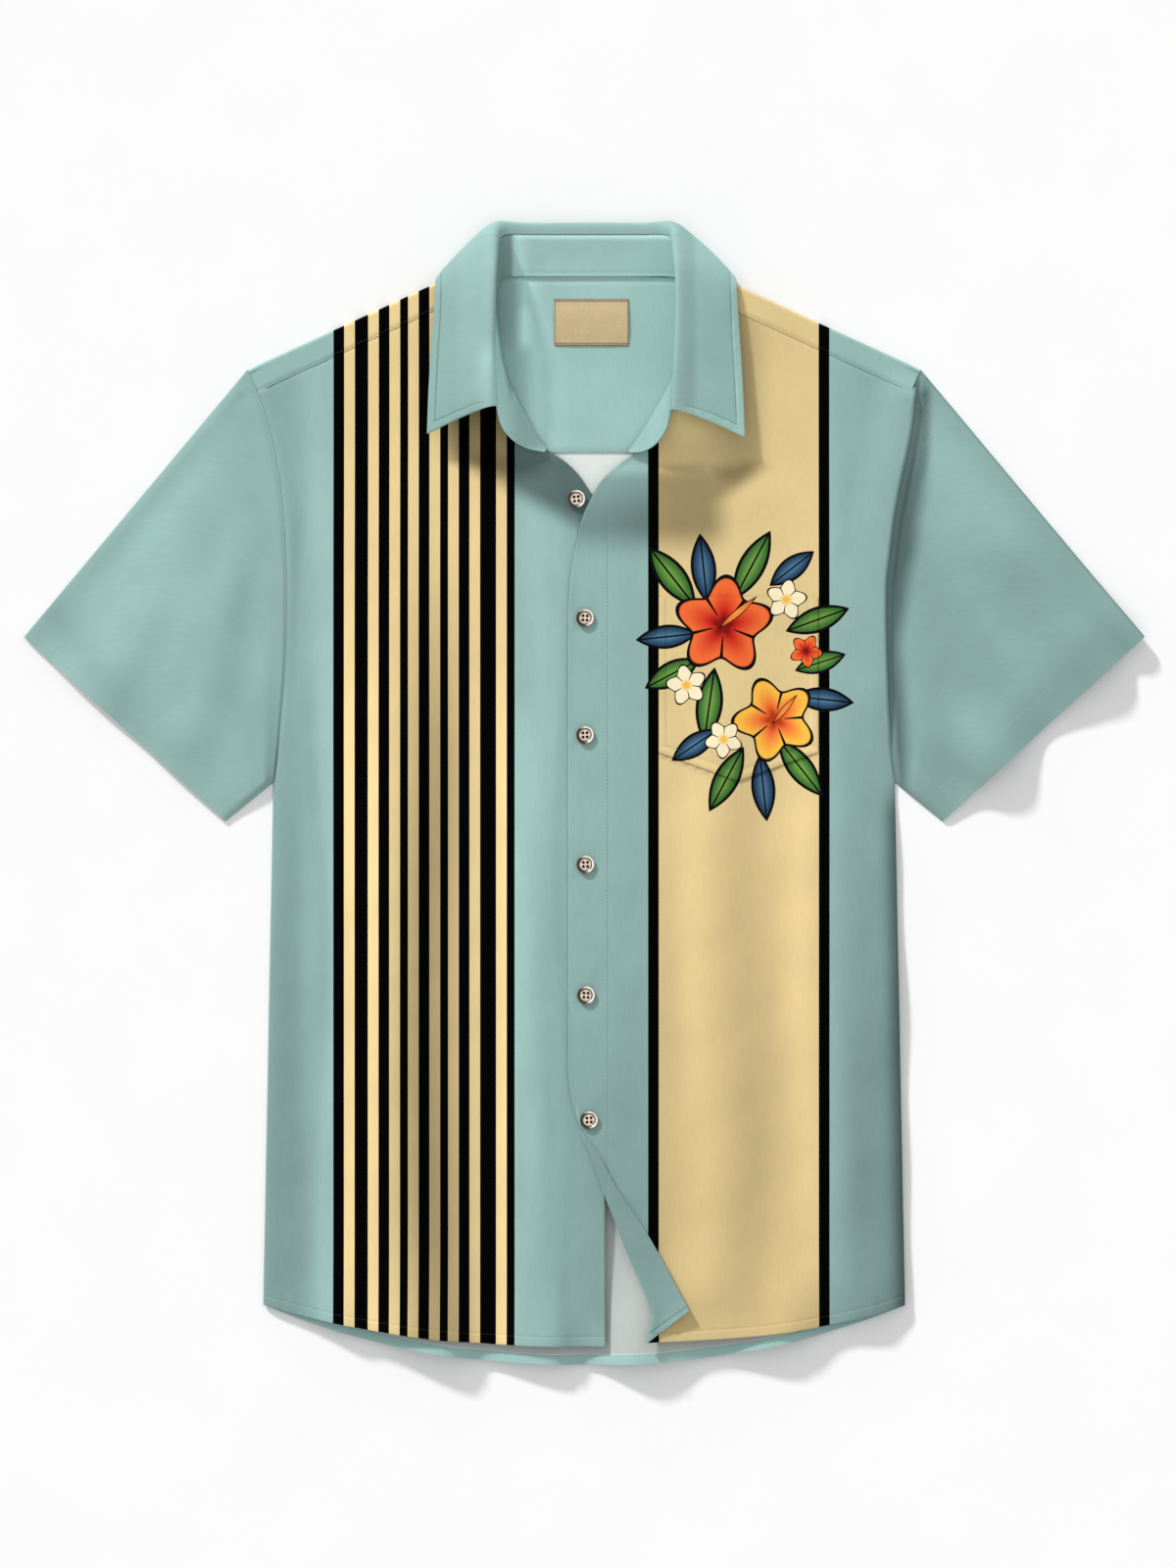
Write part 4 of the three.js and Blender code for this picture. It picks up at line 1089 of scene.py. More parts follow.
class SHIRT_OT_fronts(bpy.types.Operator):
    """The two fronts, the left one lapped over the right and turned back at its lower corner"""

    bl_idname = "shirt.fronts"
    bl_label = "Fronts"

    def execute(self, context):
        cloth = context.scene.shirt_cloth
        made = shirt_materials()
        self.right(cloth, made)
        self.left(cloth, made)
        return {"FINISHED"}

    @staticmethod
    def shade(x, y, side):
        """Painted light and shade: darker towards the sides, the hem and the collar, lighter beside the
        collar's end and along the folds.
        """
        # Painted shade towards the hem and the sides, at the side edge where the cloth rolls down, and over
        # the lapped placket; painted light and shade along the folds.
        low = 0.14 * smooth(-y, -70, 330)
        left = (0.16 + 0.08 * smooth(-y, -90, -20)) * smooth(-x, 176, 206)
        right = (0.13 + 0.1 * smooth(-y, -70, 200)) * smooth(x, 172, 200)
        rim = 0.6 * hill(half_width(y) - x, 8.5) * smooth(-y, -14, 20)
        over = 0.05 * smooth(x, -10, 0) * (1 - smooth(x, 40, 52))
        painted_shading = (1 - low) * (1 - left) * (1 - right) * (1 - rim) * (1 - over)
        painted_shading = painted_shading * (1 + fold_rise(FRONT_PAINTED_SHADING, x, y))
        # Painted shadow of the collar across the right front.
        if side < 0:
            line = NECK_SHADE["low"] - 0.55 * (x + 12)
            deep = NECK_SHADE["right"] * smooth(y - line, -9, 11) * smooth(x, -104, -86)
            return painted_shading * (1 - deep * (1 - 0.2 * smooth(y, 232, 244)))
        # Painted shadow under the pocket's foot and in its stitched groove, with painted light just inside
        # its edge.
        across = (x - POCKET["x0"]) / (POCKET["x1"] - POCKET["x0"])
        foot = lerp(POCKET["tip"], POCKET["side"], np.minimum(np.abs(2 * across - 1), 1)) - y
        edge = 0.34 * hill(foot - 1, 1.3) + 0.12 * hill(foot + 6.2, 0.8)
        edge = edge - 0.07 * smooth(-foot, 0.2, 0.8) * (1 - smooth(-foot, 5, 6))
        painted_shading = painted_shading * (1 - edge * smooth(across, 0.01, 0.03) * (1 - smooth(across, 0.97, 0.99)))
        # Painted shadow of the collar across the left front and its pocket.
        reach = 96 + 28 * smooth(y, 202, 232)
        deep = lerp(0.34, NECK_SHADE["left"], smooth(x, 0, 70)) * (1 - smooth(x, reach - 11, reach + 13))
        deep = deep * smooth(y, 160, 190) * (1 - 0.5 * smooth(y, 196, 222) * (1 - smooth(x, 44, 54)))
        deep = deep * (1 - smooth(y, 226, 238) * (1 - 0.45 * smooth(x, 70, 116)))
        # painted light beside the collar's end and along the edge of its cast shadow
        lit = 0.42 * hill(x - 74, 26) * hill(y - 258, 13)
        lit = lit + 0.46 * hill(y - 228.4, 5.2) * (1 - smooth(x, 84, 124))
        lit = lit + 0.5 * hill(x - 66, 7) * hill(y - 266, 8)
        return painted_shading * (1 - deep) * (1 + lit)

    def right(self, cloth, made):
        def edge_at(y):
            neckline = NECK_X - neckline_half(y, -1)
            return np.where(y > NECKLINE_FROM["right"], neckline, table_at(RIGHT_EDGE, y))

        s, v = np.meshgrid(close_at_ends(FRONT_COLUMNS), rows_up(FRONT_LENGTH, ROW_STEP))
        x, y = around(
            lambda y: -half_width(y),
            edge_at,
            lambda x: hem_y(x, RIGHT_HEM), lambda x: front_yoke_y(x) + 4, s, v,
        )
        edge = edge_at(y) - x
        z = right_mid(x, y, cloth) - 0.6 * edge_roll(edge, 1.1)
        band = -0.16 * hill(edge - 38, 0.9) * (1 - smooth(y, 190, 215))
        piece = cloth_sheet(
            "front_right_cloth", np.dstack([x, y, z + band]), np.dstack([x, y]), self.shade(x, y, -1)
        )
        finish_sheet(
            piece, (made["printed_poplin"], made["front_reverse"]), cloth.ply, "shirt_cloth", "front_right"
        )

    def left(self, cloth, made):
        turn, strip = TURN_COLUMNS
        up = rows_up(FRONT_LENGTH, ROW_STEP)
        s, v = np.meshgrid(close_at_ends(FRONT_COLUMNS)[::-1], up)

        def edge_at(y):
            front = np.where(y < TURN_ENDS, table_at(TURN_BACK, y), table_at(LEFT_EDGE, y))
            return np.where(y > NECKLINE_FROM["left"], NECK_X + neckline_half(y, 1), front)

        x, y = around(
            edge_at, lambda y: half_width(y) + tuck_over(y), lambda x: hem_y(x, LEFT_HEM),
            lambda x: front_yoke_y(x) + 4, s, v,
        )
        z = left_mid(x, y, cloth)
        fx, fy, fz = x[:, -1], y[:, -1], z[:, -1]
        width = np.where(fy < TURN_ENDS, table_at(TURN_BACK, fy, 2), 0)
        angle = np.radians(table_at(TURN_BACK, fy, 3))
        opened = smooth(width, 0.5, 3)
        free = x - edge_at(y)
        z = z - 0.6 * edge_roll(free, 1.1) * (1 - opened)[:, None] + 0.25 * hill(free, 2.5)
        fz = z[:, -1]
        slack = 2.4 * (1 - opened)
        hem_band = 0.4 * (1 - smooth(up, HEM_DEPTH - 0.6, HEM_DEPTH)) - 0.35 * hill(up - HEM_DEPTH, 0.7)
        columns = []
        base = np.stack([fx + slack, fy, left_mid(fx + slack, fy, cloth)], 1)
        x[:, -1] += slack
        z[:, -1] = base[:, 2]
        x[:, -2] = np.maximum(x[:, -2], x[:, -1] + 0.4)
        for k in range(1, turn + 1):
            turned = math.pi * k / turn
            flat = np.stack([fx + slack * (1 - 0.5 * k / turn), fy, fz], 1)
            bent = base + TURN_RADIUS * np.array([-math.sin(turned), 0, 1 - math.cos(turned)])
            columns.append(lerp(flat, bent, opened[:, None]))
        for k in range(1, strip + 1):
            reach = width * k / strip
            dx, dy = np.cos(angle) * reach, np.sin(angle) * reach
            flat = np.stack([fx + slack * (0.5 - 0.5 * k / strip), fy, fz], 1)
            under = left_mid(fx + dx, fy + dy, cloth)
            lift = TIP_RISE * (reach / TURN_BACK[0][2]) ** 2
            bend = 0.5 * np.sin(reach / 5 + fy / 17) * smooth(reach, 0, 10)
            bend = bend + hem_band * smooth(reach, 0.5, 2)
            bent = np.stack([fx + dx, fy + dy, under + 2 * TURN_RADIUS + lift + bend], 1)
            columns.append(lerp(flat, bent, opened[:, None]))
        points = np.concatenate([np.dstack([x, y, z]), np.stack(columns, 1)], 1)
        cut_x = np.concatenate([x, np.repeat(np.minimum(fx, 40)[:, None], turn, 1)], 1)
        reach = np.arange(1, strip + 1)[None, :] / strip * width[:, None]
        cut_x = np.concatenate([cut_x, np.minimum(fx, 40)[:, None] * 0.3 + 0 * reach], 1)
        cut_y = points[:, :, 1]
        # the grid's columns run towards +X
        points, cut_x, cut_y = points[:, ::-1], cut_x[:, ::-1], cut_y[:, ::-1]
        # painted shade along the turned-back strip's hem line, and a painted highlight along the front's free
        # edge
        seam = hill(v[:, :1] - HEM_DEPTH, 0.6) * opened[:, None]
        turned = np.repeat(1 - 0.3 * seam, turn + strip, 1)
        edge_highlight = 0.2 * hill(free - 0.9, 0.9) * (1 - opened)[:, None] * smooth(-y, -238, -226)
        painted_shading = np.concatenate([self.shade(x, y, 1) * (1 + edge_highlight), turned], 1)[:, ::-1]
        piece = cloth_sheet("front_left_cloth", points, np.dstack([cut_x, cut_y]), painted_shading)
        materials = (made["printed_poplin_bouquet"], made["front_reverse"])
        finish_sheet(piece, materials, cloth.ply, "shirt_cloth", "front_left")


class SHIRT_OT_sleeves(bpy.types.Operator):
    """The sleeves, each one cloth folded along its top and sewn under the arm"""

    bl_idname = "shirt.sleeves"
    bl_label = "Sleeves"

    def execute(self, context):
        cloth = context.scene.shirt_cloth
        made = shirt_materials()
        for side, folds, name in (
            (-1, RIGHT_SLEEVE_FOLDS, "sleeve_right"), (1, LEFT_SLEEVE_FOLDS, "sleeve_left")
        ):
            piece = self.sleeve(side, folds, name + "_cloth", cloth)
            finish_sheet(
                piece, (made["plain_poplin"], made["poplin_reverse"]), cloth.ply, "plain_cloth", name
            )
        return {"FINISHED"}

    @staticmethod
    def upper(side, x, y, inset, u, cuff, cloth, folds):
        """Height of the sleeve's upper layer. u runs from the armhole to the cuff, where cuff is the
        distance from its edge."""
        if side > 0:
            body = lerp(2.3, 5.2, smooth(u, 0.02, 0.42))
            body = lerp(body, 5.0, smooth(u, 0.5, 1.0))
        else:
            body = lerp(5.6, 3.0, smooth(u, 0.15, 1.0))
            body = lerp(3.3, body, smooth(u, 0, 0.2))
            body = body - 1.0 * hill(u * 160, 2.4)
        calm = smooth(inset, 5, 30) * smooth(u, 0.02, 0.16)
        height = body + fold_rise(folds, x, y) * calm * cloth.folds
        height = height + (0.22 * uneven(x, y, 30, 8.3) + 0.08 * uneven(x, y, 12, 3.9)) * calm
        pucker = 0.2 * uneven(x + y, x - y, 5, 6.2) * hill(cuff - CUFF_HEM, 6)
        groove = -0.22 * hill(cuff - CUFF_HEM, 0.9) + 0.2 * (1 - smooth(cuff, CUFF_HEM - 1, CUFF_HEM))
        wave = (0.8 + 1.3 * uneven(y, y * 0.2, 26, 2.2 + side)) * hill(cuff, 32)
        head = 0.4 * uneven(x, y, 6, 2.9) * hill(y - 292, 16)
        head = head * smooth(u, 0.005, 0.03) * (1 - smooth(u, 0.1, 0.2))
        return height + 0.3 * (pucker + groove) + wave * smooth(inset, 0, 20) + head

    def sleeve(self, side, folds, name, cloth):
        length = 165
        stations = np.array(sorted(
            set(np.linspace(0, 1, 66)) | {0.004, 0.008, 0.013, 0.02}
            | {1 - d / length for d in (0.7, 1.6, 17, 18, 18.7, 19.1, 19.5, 19.9, 20.4, 21, 22)}
        ))
        ring = close_at_ends(92, 0.88)
        rows, cuts, painted_shadings = [], [], []
        for u in stations:
            line = []
            for top, shares in ((False, ring), (True, ring[::-1][1:])):
                y0 = lerp(SHOULDER_TIP[1], UNDERARM[1], shares)
                out = 0.25
                if side > 0 and top:
                    out = out - 1.9 * smooth(y0, 20, 60) * (1 - smooth(y0, 276, 292))
                x0 = half_width(y0) + out
                x = lerp(x0, lerp(CUFF_OUTER[0], CUFF_INNER[0], shares), u)
                y = lerp(y0, lerp(CUFF_OUTER[1], CUFF_INNER[1], shares), u)
                chord = math.hypot(x[0] - x[-1], y[0] - y[-1])
                inset = np.minimum(shares, 1 - shares) * chord
                cuff = (1 - u) * np.hypot(x0 - lerp(CUFF_OUTER[0], CUFF_INNER[0], shares),
                                          y0 - lerp(CUFF_OUTER[1], CUFF_INNER[1], shares))
                open_end = table_at(OPEN_CUFF, shares) * hill(cuff, 40) * (side > 0)
                if top:
                    high = self.upper(side, x, y, inset, u, cuff, cloth, folds) + np.minimum(open_end, 0)
                    bow = np.sqrt(np.clip(1 - (1 - np.clip(inset / 6.5, 0, 1)) ** 2, 0, 1))
                    z = lerp(0.75, high, bow)
                else:
                    z = REST_MID + 0.4 * (1 - np.sqrt(np.clip(1 - (1 - np.clip(inset / 2, 0, 1)) ** 2, 0, 1)))
                line.append(np.stack([side * x, y, z + np.maximum(open_end, 0)], 1))
                if top:
                    # Painted light and shade on the upper layer: darker towards its folded edges and along
                    # the folds' shaded sides, lighter along their lit sides. The left sleeve is drawn darker
                    # all over, with a painted shade band along the front's edge and a dark line along its top
                    # fold; the right sleeve's lit top fold is drawn darker, painted shade.
                    shade = 1 - 0.06 * (1 - smooth(inset, 2, 20))
                    shade = shade * (1 + fold_rise(SLEEVE_PAINTED_SHADING[side], x, y))
                    if side > 0:
                        far = x - table_at(SLEEVE_SHADE, y)
                        near = x - half_width(y) - tuck_over(y)
                        dark = 1 - lerp(smooth(far, -6, 9), smooth(far, -4, 3), smooth(y, 205, 235))
                        dark = dark * smooth(y, -30, 16) * (1 - smooth(y, 280, 296))
                        shade = (shade - lerp(0.28, 0.62, smooth(near, 2, 7)) * dark) * 0.85
                        shade = shade * (1 - 0.3 * hill(inset, 1.2) * smooth(-shares, -0.5, -0.4))
                    else:
                        shade = shade * (1 - 0.2 * hill(inset, 4.5) * smooth(-shares, -0.5, -0.4))
                    painted_shadings.append(shade)
                else:
                    painted_shadings.append(1 + 0 * x)
            points = np.concatenate(line)
            around_it = np.concatenate([[0], np.cumsum(np.linalg.norm(np.diff(points, axis=0), axis=1))])
            rows.append(points)
            cuts.append(np.stack([side * (300 + around_it), 0 * around_it + u * length], 1))
        painted_shading = np.array([np.concatenate(painted_shadings[2 * k : 2 * k + 2]) for k in range(len(stations))])
        return cloth_sheet(name, np.array(rows), np.array(cuts), painted_shading, closed=True)


def round_neck(rows, key, per):
    """A smooth line from the right-hand end of a table of stations, round the back, to the left-hand end."""
    half = np.array([(*getattr(row, key), 0.0)[:3] for row in rows], float)
    points = np.concatenate([half * (-1, 1, 1), half[-2::-1]])
    closed = np.concatenate([[2 * points[0] - points[1]], points, [2 * points[-1] - points[-2]]])
    line = []
    for i in range(len(points) - 1):
        p0, p1, p2, p3 = closed[i : i + 4]
        d0, d1, d2 = (max(np.linalg.norm(b - a) ** 0.5, 1e-4) for a, b in ((p0, p1), (p1, p2), (p2, p3)))
        t1 = ((p1 - p0) / d0 - (p2 - p0) / (d0 + d1) + (p2 - p1) / d1) * d1
        t2 = ((p2 - p1) / d1 - (p3 - p1) / (d1 + d2) + (p3 - p2) / d2) * d1
        for k in range(per):
            t = k / per
            line.append(
                p1 + t1 * t + (-3 * p1 + 3 * p2 - 2 * t1 - t2) * t**2 + (2 * p1 - 2 * p2 + t1 + t2) * t**3
            )
    line.append(points[-1])
    return np.array(line)


def stand_lines(per):
    """Foot and top of the stand, in line with each other round the neck."""
    stations = STAND_END + COLLAR
    foot, top = round_neck(stations, "seam", per), round_neck(stations, "roll", per)
    shift = RIGHT_SHIFT * smooth(foot[:, 1], *SHIFT_SPAN) * smooth(foot[:, 0], 6, 40)
    foot[:, 0] += np.where(foot[:, 0] > 0, shift, 0)
    lean = np.hypot(top[:, 0] - foot[:, 0], top[:, 1] - foot[:, 1])
    flatness = lean / np.hypot(lean, top[:, 2] - 5)
    x, y = foot[:, 0] + NECK_X, foot[:, 1]
    mid = np.where(y > BACK_NECK_Y - 4, FACING_MID + neck_lift(x, y), FRONT_MID + neck_lift(x, y))
    lap = np.where((x > 0) & (y < 262), 1.6 * (1 - smooth(x, *LAP_END)), 0)
    foot[:, 2] = mid + lap + 0.5 + GAP + 0.2 + COLLAR_PLY / 2 * flatness
    return foot, top


def fall_grid(per):
    """The fall's points before its relief, each one's distances from the roll, the edge and the nearer end,
    and the columns' places along the edge."""
    foot, top = stand_lines(per)
    ends = len(STAND_END) * per
    foot, top = foot[ends:-ends], top[ends:-ends]
    edge, tail = round_neck(COLLAR, "edge", per), round_neck(COLLAR, "tail", per)
    count = len(top)
    spread = np.minimum(np.arange(count), count - 1 - np.arange(count))
    bulge = table_at(BULGES, spread / ((len(COLLAR) - 1) * per))[:, None]
    lead = top - foot
    lead = lead / np.linalg.norm(lead, axis=1)[:, None]
    start = top + lead * (GAP + 0.3)
    reach = start + lead * bulge
    t = np.linspace(0, 1, 200)[:, None, None]
    points = (1 - t) ** 3 * start + 3 * (1 - t) ** 2 * t * reach
    points = points + 3 * (1 - t) * t**2 * (edge + tail) + t**3 * edge
    bow = 3.6 * np.sin(math.pi * t[:, :, 0] ** 0.8) * (1 - smooth(spread / per, 0, 1.3))[None, :]
    points = points + bow[:, :, None] * np.array([0, 1, 0])
    # columns closer together at the ends, and rows at the edge, for the stitched groove
    along = np.concatenate([[0], np.cumsum(np.linalg.norm(np.diff(edge, axis=0), axis=1))])
    near = np.array(FALL_ROWS)
    inner = along[(along > near[-1] + 1) & (along < along[-1] - near[-1] - 1)]
    stations = np.concatenate([near, inner, along[-1] - near[::-1]])
    place = np.interp(stations, along, np.arange(count))
    low = np.minimum(place.astype(int), count - 2)
    share = (place - low)[None, :, None]
    points = points[:, low] * (1 - share) + points[:, low + 1] * share
    steps = np.linalg.norm(np.diff(points, axis=0), axis=2)
    down = np.concatenate([np.zeros((1, len(stations))), np.cumsum(steps, axis=0)])
    long = down[-1]
    rolled = np.array([0, 0.5, 1.0, 1.5, 2.2, 3.2, 4.6, 6.4])
    middle = 6.4 + np.linspace(0, 1, 26)[1:-1, None] * (long - near[-1] - 6.4)[None, :]
    last = long[None, :] - near[::-1, None]
    rows = np.concatenate([np.repeat(rolled[:, None], len(long), 1), middle, last])
    placed = np.empty((len(rows), len(long), 3))
    for k in range(len(long)):
        for axis in range(3):
            placed[:, k, axis] = np.interp(rows[:, k], down[:, k], points[:, k, axis])
    from_end = np.minimum(stations, along[-1] - stations)[None, :] + 0 * rows
    return settle(placed), rows, long[None, :] - rows, from_end, stations


def settle(points):
    """The collar's left half has settled closer to the neck than its right half, and a little lower."""
    x, y = points[:, :, 0], points[:, :, 1]
    left = smooth(x, 16, 56)
    roll = hill(x - 62, 16) * (1 - smooth(y, 280, 350))
    across = -(2.8 + 2.6 * roll) * left
    up = -2.3 * left * (1 - smooth(y, 296, 345)) - 1.4 * smooth(y, 366, 396)
    return points + np.dstack([across, up, 0 * across])


class SHIRT_OT_collar(bpy.types.Operator):
    """Collar stand round the neck and the fall that turns over it"""

    bl_idname = "shirt.collar"
    bl_label = "Collar"

    def execute(self, context):
        cloth = context.scene.shirt_cloth
        made = shirt_materials()
        foot, top = stand_lines(COLLAR_STEPS)
        self.stand(foot, top, cloth, made)
        self.fall(cloth, made)
        return {"FINISHED"}

    def stand(self, foot, top, cloth, made):
        length = np.concatenate([[0], np.cumsum(np.linalg.norm(np.diff(foot, axis=0), axis=1))])
        rows, cuts = [], []
        for t in STAND_ROWS:
            line = lerp(foot, top, t)
            belly = math.sin(math.pi * t)
            seam = -0.25 * hill(t - 0.075, 0.025)
            line[:, 2] += 0.12 * uneven(length, 30 * t + 0 * length, 9, 1.9) * belly + seam - 0.36 * belly
            rows.append(line)
            cuts.append(np.stack([length, 30 * t + 0 * length], 1))
        points = settle(np.array(rows)) + np.array([NECK_X, 0, 0])
        x, y = points[:, :, 0], points[:, :, 1]
        # Painted light and shade on the stand: lighter overall and towards the back, darker at its end on +X;
        # on -X darker high up in the fall's shadow and lighter beside and below it; lighter along its top
        # crease.
        painted_shading = 1.14 + 0.06 * smooth(y, 340, 370) - 0.2 * smooth(x, 20, 45) * (1 - smooth(y, 290, 340))
        upper = smooth(y - np.maximum(318 - 5 * (x + 60), 282), -12, 12)
        shaded = 0.34 * smooth(-x, 49, 52.5) + 0.06 * smooth(-x, 54, 58)
        bright = 0.36 * smooth(x, -51.5, -49) * hill(x + 46, 6)
        painted_shading = painted_shading * (1 + 0.34 * smooth(-x, 44, 58) * (1 - upper) + (bright - shaded) * upper)
        crease_painted_light = 0.28 * smooth(x, -52, -46) + 0.3 * smooth(x, -43, -37)
        painted_shading = painted_shading * (1 + crease_painted_light * smooth(y, 388, 391.5))
        piece = cloth_sheet("collar_stand_cloth", points[::-1], np.array(cuts)[::-1], painted_shading[::-1])
        finish_sheet(piece, (made["plain_poplin"],), cloth.collar_ply, "plain_cloth", "collar_stand")

    def fall(self, cloth, made):
        points, down, from_edge, from_end, along = fall_grid(COLLAR_STEPS)
        inner = np.minimum(from_edge, from_end)
        along = along[None, :] + 0 * down
        leafy = smooth(down, 8, 20)
        normal = np.cross(np.gradient(points, axis=1), np.gradient(points, axis=0))
        normal /= np.maximum(np.linalg.norm(normal, axis=2), 1e-9)[:, :, None]
        normal *= np.where(normal[-8, :, 2] < 0, -1, 1)[None, :, None]
        seam = hill(inner - COLLAR_STITCH, 0.55) * leafy
        relief = 0.26 * smooth(COLLAR_STITCH - inner, -0.4, 0.6) * leafy - 0.42 * seam
        relief = relief - 0.22 * hill(down - 1.2, 1) - 0.4 * edge_roll(inner, 0.9) * leafy
        relief = relief + 0.2 * uneven(along, down, 4.5, 2.7) * hill(inner - 4.6, 2.6) * leafy
        relief = relief + 0.4 * uneven(along, down, 24, 9.1) * leafy * smooth(from_edge, 0, 12)
        hidden = smooth(np.abs(points[:, :, 0]), 78, 96)
        shown = np.where(points[:, :, 1] > 350, hidden, 1)
        x, y = points[:, :, 0], points[:, :, 1]
        # Painted light and shade on the fall: darker on the -X leaf, lighter on the +X leaf and along its
        # edge, lighter along the -X roll low down, and painted shade in the stitched groove.
        painted_shading = 1 - 0.1 * smooth(-x, 66, 76) - 0.07 * smooth(-x, 86, 96)
        painted_shading = painted_shading + 0.4 * hill(x + 68, 9) * (1 - smooth(y, 300, 325))
        painted_shading = painted_shading + 0.2 * smooth(x, 72, 78) - 0.04 * np.exp(-(((x - 63) / 7) ** 4))
        painted_shading = painted_shading + 0.13 * smooth(x, 60, 70) * (1 - smooth(inner, 4.5, 6.5))
        painted_shading = painted_shading * (1 - 0.3 * seam * shown)
        points = points + normal * (relief * shown)[:, :, None] + np.array([NECK_X, 0, 0])
        cut = np.dstack([along, down])
        piece = cloth_sheet("collar_fall_cloth", points[::-1], cut[::-1], painted_shading[::-1])
        finish_sheet(piece, (made["plain_poplin"],), cloth.collar_ply, "plain_cloth", "collar_fall")


class SHIRT_OT_pocket(bpy.types.Operator):
    """Chest pocket with a pointed foot, cut to match the print"""

    bl_idname = "shirt.pocket"
    bl_label = "Chest pocket"

    def execute(self, context):
        cloth = context.scene.shirt_cloth
        made = shirt_materials()
        edge = np.array([0, 0.3, 0.8, 1.4, 2, 2.6, 3.4, 4.6, 5.6, 6.2, 6.8, 7.6, 9])
        wide = POCKET["x1"] - POCKET["x0"]
        s = np.concatenate([edge / wide, np.linspace(9, wide - 9, 42)[1:-1] / wide, 1 - edge[::-1] / wide])
        up = np.concatenate([edge, np.linspace(9, 98, 36)[1:], [102, 106, 107.5, 108.4, 109]])
        s, v = np.meshgrid(s, up)
        x = lerp(POCKET["x0"], POCKET["x1"], s)
        bottom = lerp(POCKET["tip"], POCKET["side"], np.abs(2 * s - 1))
        top = POCKET["top"]
        y = bottom + np.where(v < 9, v, 9 + (v - 9) * (top - 9 - bottom) / 100)
        inset = np.minimum(np.minimum(x - POCKET["x0"], POCKET["x1"] - x), (y - bottom) * 0.94)
        mouth = top - y
        z = left_mid(x, y, cloth) + POCKET_STEP - 0.35 * edge_roll(inset, 0.8)
        z = z + 0.25 * smooth(inset, 0, 1) * (1 - smooth(inset, 5.6, 6.4)) - 0.2 * hill(inset - 6.2, 0.6)
        z = z - 0.2 * hill(inset - 1.6, 0.5) + 0.1 * uneven(x, y, 5, 3.3) * np.exp(-inset / 6)
        z = z + 0.9 * smooth(inset, 2, 40) * hill(mouth, 30) - 0.08 * hill(mouth - 22, 0.9)
        # the pocket takes the painted light and shade of the front under it
        piece = cloth_sheet(
            "chest_pocket_cloth", np.dstack([x, y, z]), np.dstack([x, y]), SHIRT_OT_fronts.shade(x, y, 1)
        )
        materials = (made["printed_poplin_bouquet"], made["poplin_reverse"])
        finish_sheet(piece, materials, cloth.ply, "pocket_cloth", "chest_pocket")
        return {"FINISHED"}


class SHIRT_OT_label(bpy.types.Operator):
    """Bare woven neck label, folded under at its ends and sewn to the facing"""

    bl_idname = "shirt.label"
    bl_label = "Neck label"

    def execute(self, context):
        s, v = np.meshgrid(close_at_ends(60, 0.6), close_at_ends(44, 0.6))
        x = LABEL["x"] + (s - 0.5) * LABEL["width"]
        y = LABEL["y"] + (v - 0.5) * LABEL["height"]
        ends = LABEL["height"] / 2 - np.abs(y - LABEL["y"])
        inset = np.minimum(LABEL["width"] / 2 - np.abs(x - LABEL["x"]), ends)
        z = FACING_MID + neck_lift(x, y) + 0.95 - 0.3 * edge_roll(inset, 0.7)
        z = z + 0.5 * smooth(ends, 0.5, 9) * np.sin(math.pi * v) - 0.16 * hill(ends - LABEL_STITCH, 0.5)
        z = z + 0.12 * uneven(x, y, 8, 4.1)
        piece = cloth_sheet("neck_label_weave", np.dstack([x, y, z]), np.dstack([x, y]))
        finish_sheet(
            piece, (self.material(context.scene.shirt_colours),), 0.5 * MM, "label_weave", "neck_label"
        )
        return {"FINISHED"}

    @staticmethod
    def material(colours):
        """Damask label weave: fine ribs of polyester, with a slight gloss and darker selvedges."""

        def paint(tree, spot):
            place = framed(tree, spot, LABEL["x"], LABEL["y"], 0, LABEL["width"] / 2, LABEL["height"] / 2)
            part = add_node(tree, "SeparateXYZ", {0: place})
            side, up = (maths(tree, "ABSOLUTE", part.outputs[axis]) for axis in (0, 1))
            tan, brown, white = rgba(colours.label), rgba(linear("#8A7350")), rgba(WHITE)
            border = ramp_node(tree, up, [(0, tan), (0.86, tan), (0.9, brown), (0.935, tan), (0.97, brown)])
            selvedge = ramp_node(tree, side, [(0, white), (0.95, white), (0.985, rgba((0.62, 0.6, 0.56)))])
            ribs = add_node(tree, "Mapping", {0: spot, 3: (300, 1500, 1)})
            blotch = add_node(tree, "TexNoise", {0: ribs, "Scale": 1.0, "Detail": 2.0})
            faint, full = rgba((0.93, 0.92, 0.9)), rgba((1.05, 1.04, 1.03))
            worn = ramp_node(tree, blotch, [(0.35, faint), (0.65, full)])
            return mixed(tree, 1.0, mixed(tree, 1.0, border, selvedge, "MULTIPLY"), worn, "MULTIPLY")

        return woven("damask_label", paint, rough=0.5, sheen=0.3, thread=0.7, relief=0.1)


